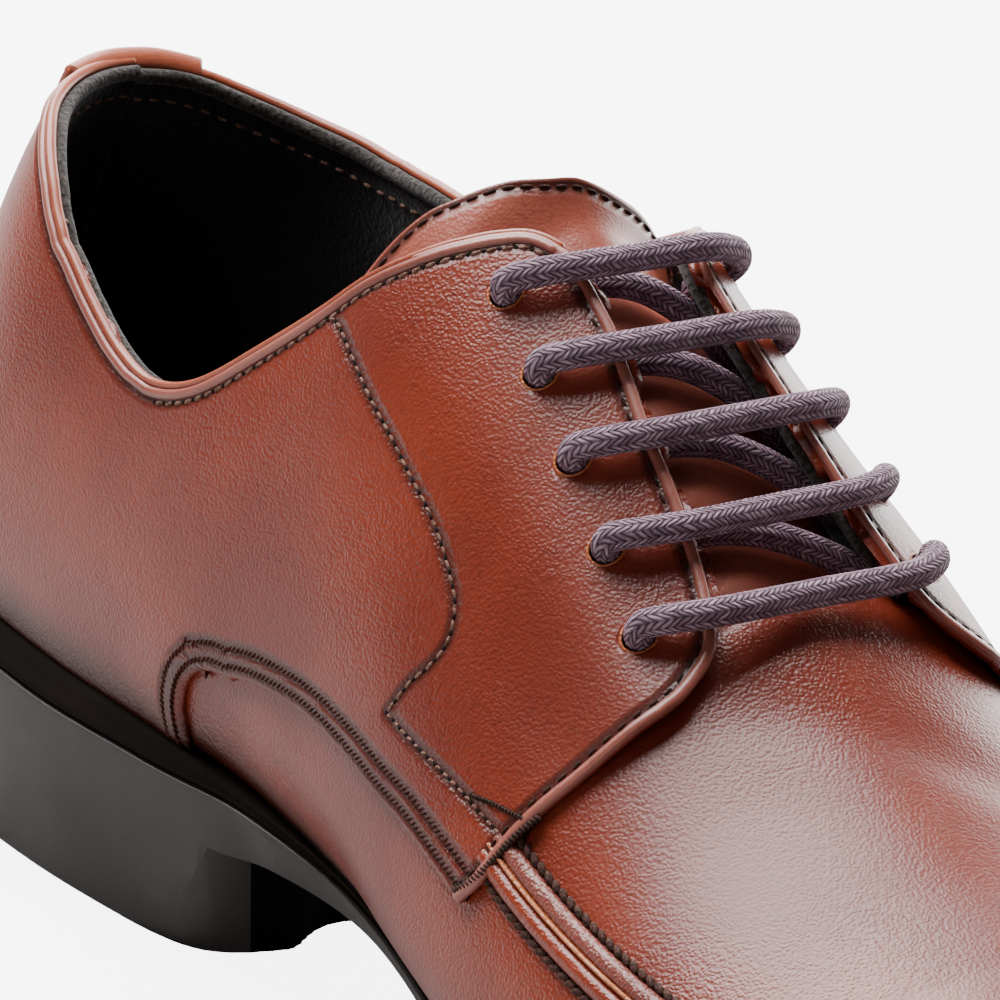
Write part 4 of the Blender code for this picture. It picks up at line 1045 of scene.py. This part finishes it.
# Tongue
# One piece of calf under the facings with a stitch line inside its edge. It slips under the
# vamp in front.
TONGUE_DEPTH = 0.0051
TONGUE_TOP = [(0.316, -0.268), (0.319, -0.232), (0.331, -0.182), (0.345, -0.145), (0.360, -0.088),
              (0.367, -0.042), (0.370, 0.031), (0.369, 0.090), (0.364, 0.155), (0.364, 0.205)]
TONGUE_INNER = [(0.316, -0.268), (0.335, -0.268), (0.400, -0.235), (0.480, -0.195), (0.550, -0.165), (0.600, -0.140)]
TONGUE_OUTER = [(0.364, 0.205), (0.378, 0.226), (0.430, 0.225), (0.480, 0.205), (0.550, 0.165), (0.600, 0.140)]
UNDER_VAMP = 0.0019


def plan_line(rows, count):
    """Smooth curve in plan through (share of length, share of width) points, in metres."""
    rows = np.array(rows) * (UPPER_LENGTH, BALL_WIDTH)
    reach = np.concatenate([[0.0], np.cumsum(np.linalg.norm(np.diff(rows, axis=0), axis=1))])
    columns = [list(zip(reach, rows[:, k])) for k in (0, 1)]
    return np.array([[through(column, at) for column in columns] for at in np.linspace(0, reach[-1], count)])


def tongue_lift(along):
    share = along / UPPER_LENGTH
    front = np.array([ease(value, 0.543, 0.569) for value in share.ravel()]).reshape(share.shape)
    top = 1 - np.array([ease(value, 0.355, 0.388) for value in share.ravel()]).reshape(share.shape)
    return -TONGUE_DEPTH + (TONGUE_DEPTH - UNDER_VAMP) * front + (TONGUE_DEPTH - 0.0018) * top


head = plan_line(TONGUE_TOP, 60)
tail = np.stack([np.full(60, 0.600 * UPPER_LENGTH), np.linspace(-0.0140, 0.0140, 60)], 1)
cells = filled(plan_line(TONGUE_INNER, 130), plan_line(TONGUE_OUTER, 130), head, tail, np.linspace(0, 1, 60))
points, _ = over(cells[..., 0], cells[..., 1], tongue_lift(cells[..., 0]))
# The tongue's calf is lighter and pinker than the quarters': partly its own rose-brown, partly painted sheen.
TONGUE_CALF_AND_SHEEN = leather("tongue_calf_and_painted_sheen", (0.025, 0.006, 0.004), (0.300, 0.068, 0.042), (0.400, 0.110, 0.075), depth=0.2)
tongue = shaped_grid("tongue_face", points, TONGUE_CALF_AND_SHEEN)
thickened(tongue, 0.0024)
rim = np.concatenate([points[:, 0], points[:, -1], points[0]])
near(tongue, "edge", [rim])
near(tongue, "sole", [np.array([[0.0, 0.0, -1.0]])])
ring = np.concatenate([cells[40:2:-1, 2], cells[2, 2:-2], cells[2:40, -3]])
centre = np.array([[cells[..., 0].mean(), 0.0]])
line, line_out = over(ring[:, 0], ring[:, 1], tongue_lift(ring[:, 0]))
near(tongue, "seam", [line])
put(tongue, "burnished_leather", "tongue")
piece = sewn("tongue_stitches", line, line_out, 0.0024, (0.0019, 0.0006, 0.0006), BROWN_THREAD)
put(piece, "burnished_leather", "tongue")

# Back strip
# A strip of calf down the back seam, folded over the collar's top.
STRIP_OUT = 0.0030
STRIP_HALF = [(0.30, 0.0060), (0.60, 0.0070), (0.78, 0.0095), (0.86, 0.0125), (0.95, 0.0135)]
across = np.linspace(-1, 1, 41)
up_rows = np.linspace(-0.75, 0.419, 70)
points = np.zeros((len(across), len(up_rows) + 12, 3))
for n, share in enumerate(across):
    side = OUTER if share > 0 else INNER
    for m, row in enumerate(up_rows):
        height = HalfSection(0, side).point(row)[2] / INSTEP_HEIGHT
        width = abs(share) * through(STRIP_HALF, height)
        place = math.asin(min(width / 0.036, 1.0)) / (math.pi / 2)
        end = row - 0.010 * ease(place, 0.05, 0.3)
        points[n, m] = on_last(place, end, side, STRIP_OUT)[0]
    edge, out = on_last(place, end, side)
    for m in range(12):
        turn = math.pi * (m + 1) / 12
        points[n, len(up_rows) + m] = edge + out * (0.0014 + 0.0016 * math.cos(turn)) + np.array((0, 0, 0.0014 * math.sin(turn)))
strip = shaped_grid("heel_strip", points, SALMON, flip=True)
thickened(strip, 0.0009)
put(marked(strip, [np.concatenate([points[0], points[-1]])]), "burnished_leather", "back_strip")

# Lace
# One round waxed cord, braided in fine chevrons. It goes up through each eyelet, straight
# over the gap and down again, then across underneath to the next pair. No bow is tied; one
# end stops under the inner bottom eyelet and the other under the outer top eyelet.
LACE_RADIUS = 0.0019
LACE_DEPTH = 0.00245
BAR_LEAD = 0.0042
BRAID_COLUMNS = 12
STRANDS_PER_METRE = 1080.0
THROAT = {INNER: [(0.390, 0.092), (0.430, 0.098), (0.500, 0.118), (0.555, 0.140), (0.575, 0.172)],
          OUTER: [(0.390, 0.055), (0.430, 0.068), (0.500, 0.102), (0.555, 0.140), (0.575, 0.180)]}


def lace_points():
    facing = QUARTER_STEP + FACING_LIFT
    rest = facing + LACE_RADIUS + 0.0003

    def at(number, width, lift):
        return over(EYELET_START + number * EYELET_PITCH, width, lift)[0]

    def spread(number, side):
        return EYELET_INSET[side] + number * EYELET_SPREAD

    def half_bar(number, side):
        hole, out = eyelet(number, side)
        inward = np.array((0.0, -side * LACE_RADIUS, 0.0))
        lead = BAR_LEAD / EYELET_PITCH
        edge = BALL_WIDTH * through(THROAT[side], hole[0] / UPPER_LENGTH)
        return [hole - out * (facing + LACE_DEPTH), hole - out * 0.001, hole + out * 0.0009,
                hole + out * 0.0028 + inward * 0.6,
                at(number + 0.5 * lead, side * (0.6 * spread(number, side) + 0.4 * edge), rest + 0.0007),
                at(number + lead, side * edge, rest + 0.0002)]

    points = []
    for number in reversed(range(EYELETS)):
        near_half = half_bar(number, INNER)
        far_half = half_bar(number, OUTER)
        points += near_half + [(near_half[-1] + far_half[-1]) / 2] + far_half[::-1]
        if number:
            for share in (0.70, 0.35, 0.0, -0.35, -0.70):
                reach = spread(number, OUTER if share > 0 else INNER)
                points.append(at(number - (1 - share) / 2, share * reach, -LACE_DEPTH))
    return np.array(points)


def smoothed(points, step):
    """Even points on the smooth curve through a few."""
    reach = np.concatenate([[0.0], np.cumsum(np.linalg.norm(np.diff(points, axis=0), axis=1))])
    columns = [list(zip(reach, points[:, k])) for k in range(3)]
    count = int(reach[-1] / step)
    return np.array([[through(column, at) for column in columns] for at in np.linspace(0, reach[-1], count)])


def carried(centres):
    """Ways across a curve that don't twist along it."""
    ahead = np.gradient(centres, axis=0)
    ahead /= np.linalg.norm(ahead, axis=1, keepdims=True)
    way = np.array((0.3, 0.9, 0.2))
    found = []
    for step in ahead:
        way = way - step * (way @ step)
        way = way / np.linalg.norm(way)
        found.append(way)
    return np.array(found)


def braided_cord():
    made = bpy.data.materials.new("braided_cord")
    made.use_nodes = True
    tree = made.node_tree
    shader = tree.nodes["Principled BSDF"]
    place = add(tree, "SeparateXYZ", {0: add(tree, "UVMap", uv_map="UVMap").outputs[0]})

    def sum_of(kind, first, second, third=None):
        inputs = {0: first, 1: second}
        if third is not None:
            inputs[2] = third
        return add(tree, "Math", inputs, operation=kind).outputs[0]

    column = sum_of("MULTIPLY", place.outputs[1], float(BRAID_COLUMNS))
    zigzag = sum_of("PINGPONG", column, 1.0)
    at = add(tree, "TexCoord").outputs["Object"]
    sway = add(tree, "TexNoise", {"Vector": at, "Scale": 420.0, "Detail": 2.0}).outputs["Fac"]
    run = sum_of("MULTIPLY_ADD", place.outputs[0], STRANDS_PER_METRE, sum_of("MULTIPLY", sway, 1.6))
    phase = sum_of("ADD", run, sum_of("MULTIPLY", zigzag, 1.35))
    one = add(tree, "CombineXYZ", {0: sum_of("FLOOR", phase, 0.0), 1: sum_of("FLOOR", column, 0.0)}).outputs[0]
    chance = add(tree, "TexWhiteNoise", {"Vector": one}, noise_dimensions="2D").outputs["Value"]
    strand = sum_of("SINE", sum_of("MULTIPLY", sum_of("FRACT", phase, 0.0), math.pi), 0.0)
    ridge = sum_of("SINE", sum_of("MULTIPLY", zigzag, math.pi), 0.0)
    height = sum_of("MULTIPLY", sum_of("POWER", strand, 0.6), sum_of("MULTIPLY_ADD", ridge, 0.45, 0.55))
    fibre = add(tree, "TexNoise", {"Vector": at, "Scale": 3200.0, "Detail": 3.0}).outputs["Fac"]
    glint_noise = add(tree, "TexNoise", {"Vector": at, "Scale": 700.0, "Detail": 2.0}).outputs["Fac"]
    # Painted shade and highlight: the colour follows the braid's height, near black in the gaps between strands and
    # pale on their crowns, with a random spread from strand to strand.
    lit = sum_of("MULTIPLY", height, sum_of("MULTIPLY_ADD", chance, 0.5, 0.62))
    tint = ramp(tree, sum_of("MULTIPLY", lit, sum_of("MULTIPLY_ADD", fibre, 0.8, 0.6)),
                [(0.10, (0.016, 0.009, 0.013)), (0.60, (0.200, 0.120, 0.160)), (1.0, (0.40, 0.28, 0.34))])
    # Painted glints: pale grey specks on the strands' crowns.
    glint_specks = sum_of("MULTIPLY", span(tree, glint_noise, 0.58, 0.72), span(tree, strand, 0.6, 0.95))
    glinted_tint = blend(tree, sum_of("MULTIPLY", glint_specks, 0.5), tint, (0.30, 0.27, 0.29, 1.0))
    tree.links.new(glinted_tint, shader.inputs["Base Color"])
    bump = add(tree, "Bump", {"Strength": 0.8, "Distance": 0.0003, "Height": height}).outputs[0]
    fine = add(tree, "Bump", {"Strength": 0.5, "Distance": 0.00015, "Height": fibre, "Normal": bump}).outputs[0]
    tree.links.new(fine, shader.inputs["Normal"])
    shader.inputs["Roughness"].default_value = 0.75
    shader.inputs["Specular IOR Level"].default_value = 0.2
    return made


centres = smoothed(lace_points(), 0.0004)
length = float(np.linalg.norm(np.diff(centres, axis=0), axis=1).sum())
lace_piece = swept("lace_cord", centres, carried(centres), LACE_RADIUS, LACE_RADIUS, braided_cord(), sides=20, size=(length, 1.0))
put(lace_piece, "waxed_cord", "lace")

# Sole unit
# One moulding of rubber: a matt black ledge all round the upper and a satin grey-brown side,
# which runs from the heel into a slanted waist. The forepart lies flat and the toe lifts.
LEDGE = 0.0042
UPPER_SEAT = 0.0005
WELT_THICKNESS = 0.0040
WELT_LAP = 0.0080
SOLE_COLUMNS = ("along", "ledge_inner", "ledge_outer", "lean_inner", "lean_outer", "welt")
SOLE = [
    (0.000, 0.95, 0.95, 0.045, 0.045, 1.00),
    (0.130, 1.00, 1.00, 0.040, 0.040, 1.00),
    (0.200, 0.95, 1.00, 0.042, 0.035, 1.00),
    (0.270, 0.75, 0.95, 0.046, 0.036, 0.90),
    (0.300, 0.60, 0.92, 0.048, 0.038, 0.78),
    (0.325, 0.42, 0.88, 0.052, 0.042, 0.62),
    (0.345, 0.32, 0.85, 0.140, 0.095, 0.53),
    (0.410, 0.05, 0.75, 0.150, 0.090, 0.30),
    (0.480, 0.05, 0.80, 0.110, 0.080, 0.40),
    (0.550, 0.45, 0.95, 0.060, 0.050, 0.75),
    (0.620, 0.85, 1.00, 0.020, 0.020, 0.95),
    (0.690, 1.00, 1.00, 0.012, 0.012, 1.00),
    (1.000, 1.05, 1.05, 0.012, 0.012, 1.00),
]
WAIST_LINE = [(0.28, 0.575), (0.36, 0.575), (0.41, 0.560), (0.44, 0.530), (0.48, 0.450),
              (0.53, 0.290), (0.58, 0.120), (0.62, 0.000), (0.63, -0.020)]
BREAST_SHARE = 0.310
BREAST_SLANT = 0.28
BREAST_PLAN = [(0.000, 0.0205, 0.00), (0.030, 0.0192, 0.00), (0.060, 0.0150, 0.00), (0.080, 0.0108, 0.02),
               (0.100, 0.0062, 0.05), (0.118, 0.0022, 0.11), (0.135, 0.0000, 0.18), (0.160, 0.0005, 0.27),
               (0.193, 0.0018, 0.38), (0.220, 0.0042, 0.38), (0.240, 0.0075, 0.38), (0.252, 0.0105, 0.38),
               (0.262, 0.0144, 0.38), (0.270, 0.0188, 0.38), (0.276, 0.0233, 0.38), (0.284, 0.0325, 0.38),
               (0.292, 0.0430, 0.38), (0.300, 0.0540, 0.38), (0.308, 0.0680, 0.38), (0.680, 0.0680, 0.38)]
BREAST_DRESSED = 0.193
TOE_LIFT_SHARE = 0.80
TOE_SPRING = 0.0085


class SoleStation:
    """Sizes of the sole unit at one place of the last's outline."""

    def __init__(self, place, side):
        self.half = HalfSection(place, side)
        self.along = (self.half.foot + self.half.heading[0] * self.half.feather) / UPPER_LENGTH
        word = "inner" if side == INNER else "outer"
        self.ledge = LEDGE * self.value("ledge_" + word)
        self.lean = BALL_WIDTH * self.value("lean_" + word)
        self.depth = UPPER_SEAT + WELT_THICKNESS * self.value("welt")

    def value(self, name):
        column = SOLE_COLUMNS.index(name)
        return through([(row[0], row[column]) for row in SOLE], self.along)

    def at(self, outside, above=None):
        """Point outside the feather line; above is measured from it, or None for the floor."""
        reach = self.half.feather + outside
        x = self.half.foot + self.half.heading[0] * reach
        if above is None:
            lift = max((self.along - TOE_LIFT_SHARE) / (1 - TOE_LIFT_SHARE), 0.0)
            return (x, self.half.heading[1] * reach, TOE_SPRING * lift ** 1.6)
        return (x, self.half.heading[1] * reach, feather_height(x / UPPER_LENGTH) + above)


def rubber(name, dark, light, roughness, gloss=0.3):
    made = bpy.data.materials.new(name)
    made.use_nodes = True
    tree = made.node_tree
    shader = tree.nodes["Principled BSDF"]
    at = add(tree, "TexCoord").outputs["Object"]
    cloud = add(tree, "TexNoise", {"Vector": at, "Scale": 35.0, "Detail": 3.0}).outputs["Fac"]
    stipple = add(tree, "TexNoise", {"Vector": at, "Scale": 1800.0, "Detail": 2.0}).outputs["Fac"]
    tree.links.new(ramp(tree, cloud, [(0.3, dark), (0.7, light)]), shader.inputs["Base Color"])
    bump = add(tree, "Bump", {"Strength": 0.25, "Distance": 0.00012, "Height": stipple}).outputs[0]
    tree.links.new(bump, shader.inputs["Normal"])
    tree.links.new(span(tree, cloud, 0.3, 0.7, roughness + 0.06, roughness - 0.04), shader.inputs["Roughness"])
    shader.inputs["Specular IOR Level"].default_value = gloss
    return made


BLACK_RUBBER = rubber("black_rubber", (0.005, 0.003, 0.002), (0.009, 0.005, 0.003), 0.80, 0.08)
GREY_RUBBER = rubber("grey_rubber", (0.034, 0.027, 0.025), (0.050, 0.040, 0.037), 0.42)
# Near-black for the heel breast's hollow and the waist's underside: partly the rubber's own black beyond the grey
# dressing, partly painted shade.
BREAST_BLACK_AND_SHADE = rubber("breast_black_and_painted_shade", (0.003, 0.002, 0.002), (0.005, 0.004, 0.004), 0.75, 0.05)
half = np.concatenate([np.linspace(0, 1, 40), np.linspace(1, 2, 130)[1:], np.linspace(2, 3, 40)[1:]])
stations = {side: [SoleStation(place, side) for place in half] for side in (INNER, OUTER)}
loop = stations[INNER] + stations[OUTER][-2::-1]
rings = []
for station in loop:
    top, bottom = -UPPER_SEAT, -station.depth
    reach = station.ledge
    shoulder = min(QUARTER_STEP + 0.0006, reach - 0.0001)
    lip = bottom + 0.3 * (top - bottom)
    profile = [(-WELT_LAP, bottom), (reach - 0.0003, bottom), (reach, bottom + 0.0002),
               (reach, lip - 0.0002), (reach - 0.0003, lip + 0.00005), ((reach + shoulder) / 2, (lip + top) / 2 + 0.0001),
               (shoulder + 0.0002, top - 0.0001), (shoulder - 0.0004, top), (-WELT_LAP, top), (-WELT_LAP, bottom)]
    rings.append([station.at(out, above) for out, above in profile])
welt = shaped_grid("ledge", np.array(rings), BLACK_RUBBER, weld=True)
put(welt, "black_rubber", "welt")

rings = []
for inner, outer in zip(stations[INNER], stations[OUTER]):
    ring = []
    for station, order in ((inner, 1), (outer, -1)):
        low = station.ledge - station.lean
        top = -station.depth - 0.0003
        wall = [station.at(station.ledge - 0.0006, top), station.at(station.ledge - 0.0001, top - 0.0004)]
        high = np.array(station.at(station.ledge, top - 0.0012))
        base = np.array(station.at(low, None)) + (0, 0, 0.0008)
        wall += [tuple(high + (base - high) * share) for share in (0.0, 0.25, 0.5, 0.75, 1.0)]
        wall += [station.at(low - 0.0003, None)[:2] + (station.at(low, None)[2] + 0.0002,), station.at(low - 0.0009, None)]
        ring += wall[::order]
    ring.append(ring[0])
    rings.append(ring)
outsole = shaped_grid("sole_unit", np.array(rings), GREY_RUBBER, weld=True)

plan = [(-out, back, -flare) for out, back, flare in BREAST_PLAN[:0:-1]] + BREAST_PLAN
rings = []
for out, back, flare in plan:
    start = BREAST_SHARE - back
    y = out * BALL_WIDTH
    ring = [(start * UPPER_LENGTH - BREAST_SLANT * SEAT_HEIGHT / 2, y - flare * SEAT_HEIGHT / 2, -SEAT_HEIGHT / 2)]
    for k in range(61):
        along = start + (WAIST_LINE[-1][0] - start) * k / 60
        height = SEAT_HEIGHT * through(WAIST_LINE, along)
        ring.append((along * UPPER_LENGTH + BREAST_SLANT * (1 - k / 60) * height, y + flare * height, height))
    ring.append((WAIST_LINE[-1][0] * UPPER_LENGTH, y, -SEAT_HEIGHT / 2))
    rings.append(ring + ring[:1])
rings = np.array(rings)
middle = rings[:, :-1].mean(axis=1, keepdims=True)
ends = [np.repeat(middle[k], rings.shape[1], 0)[None] for k in (0, -1)]
arch = shaped_grid("arch", np.concatenate([ends[0], rings, ends[1]]), BLACK_RUBBER, weld=True)
bm = bmesh.new()
bm.from_mesh(arch.data)
bmesh.ops.recalc_face_normals(bm, faces=bm.faces)
bm.to_mesh(arch.data)
bm.free()
bm = bmesh.new()
bm.from_mesh(outsole.data)
bmesh.ops.recalc_face_normals(bm, faces=bm.faces)
bm.to_mesh(outsole.data)
bm.free()
outsole.data.materials.append(BREAST_BLACK_AND_SHADE)
arch.data.materials.append(BREAST_BLACK_AND_SHADE)
# Faces of the hollow take the breast's near-black, partly painted shade, except the dressed corners beside the side
# walls, which take the grey.
for face in arch.data.polygons:
    spot = face.center - ORIGIN
    out = abs(spot.y) - BREAST_PLAN[-1][2] * spot.z
    front = spot.x < (BREAST_SHARE + 0.02) * UPPER_LENGTH and abs(face.normal.z) < 0.5
    face.material_index = 0 if front and out > BREAST_DRESSED * BALL_WIDTH else 1
cut_away(outsole, arch)
outsole.data.set_sharp_from_angle(angle=math.radians(40))
put(outsole, "grey_rubber", "outsole")

# Insole
# The sock inside keeps its packed form and gets the lining's cloth.
insole = bpy.data.objects["insole"]
for n in range(max(len(insole.material_slots), 1)):
    if insole.material_slots:
        insole.material_slots[n].material = SOCK_CLOTH
    else:
        insole.data.materials.append(SOCK_CLOTH)

# Floor and light
# A plain white floor, a big soft light behind on the outer side, a broad one above and behind
# and a weak one ahead on the inner side.
FLOOR_SIZE = 14.0
FLOOR_WHITE = 6.0
FLOOR_GLOW = 0.10


def floor_paint():
    made = bpy.data.materials.new("white_floor")
    made.use_nodes = True
    tree = made.node_tree
    shader = tree.nodes["Principled BSDF"]
    shader.inputs["Base Color"].default_value = (0.38, 0.38, 0.38, 1.0)
    shader.inputs["Roughness"].default_value = 0.70
    seen = add(tree, "LightPath").outputs["Is Camera Ray"]
    glow = add(tree, "Math", {0: seen, 1: FLOOR_WHITE - FLOOR_GLOW, 2: FLOOR_GLOW}, operation="MULTIPLY_ADD").outputs[0]
    shader.inputs["Emission Color"].default_value = (1.0, 1.0, 1.0, 1.0)
    tree.links.new(glow, shader.inputs["Emission Strength"])
    return made


bm = bmesh.new()
bmesh.ops.create_grid(bm, x_segments=4, y_segments=4, size=FLOOR_SIZE / 2)
mesh = bpy.data.meshes.new("floor")
bm.to_mesh(mesh)
bm.free()
floor = bpy.data.objects.new("floor", mesh)
bpy.context.scene.collection.objects.link(floor)
floor.data.materials.append(floor_paint())

LIGHTS = [
    ("back_light", (-0.80, 1.20, 0.35), (2.4, 0.9), 55.0, (1.0, 0.99, 0.98)),
    ("top_light", (-0.54, 0.00, 1.00), (1.1, 1.1), 52.0, (1.0, 1.0, 1.0)),
    ("front_light", (0.50, -1.10, 0.55), (0.5, 0.5), 1.5, (1.0, 0.98, 0.98)),
]
for name, place, size, power, colour in LIGHTS:
    data = bpy.data.lights.new(name, "AREA")
    data.shape = "RECTANGLE"
    data.size, data.size_y = size
    data.energy = power
    data.color = colour
    lamp = bpy.data.objects.new(name, data)
    lamp.location = place
    lamp.rotation_mode = "QUATERNION"
    lamp.rotation_quaternion = (Vector((0, 0, 0.05)) - Vector(place)).to_track_quat("-Z", "Y")
    bpy.context.scene.collection.objects.link(lamp)

world = bpy.data.worlds.new("studio")
world.use_nodes = True
world.node_tree.nodes["Background"].inputs["Color"].default_value = (1.0, 1.0, 1.0, 1.0)
world.node_tree.nodes["Background"].inputs["Strength"].default_value = 0.05
bpy.context.scene.world = world
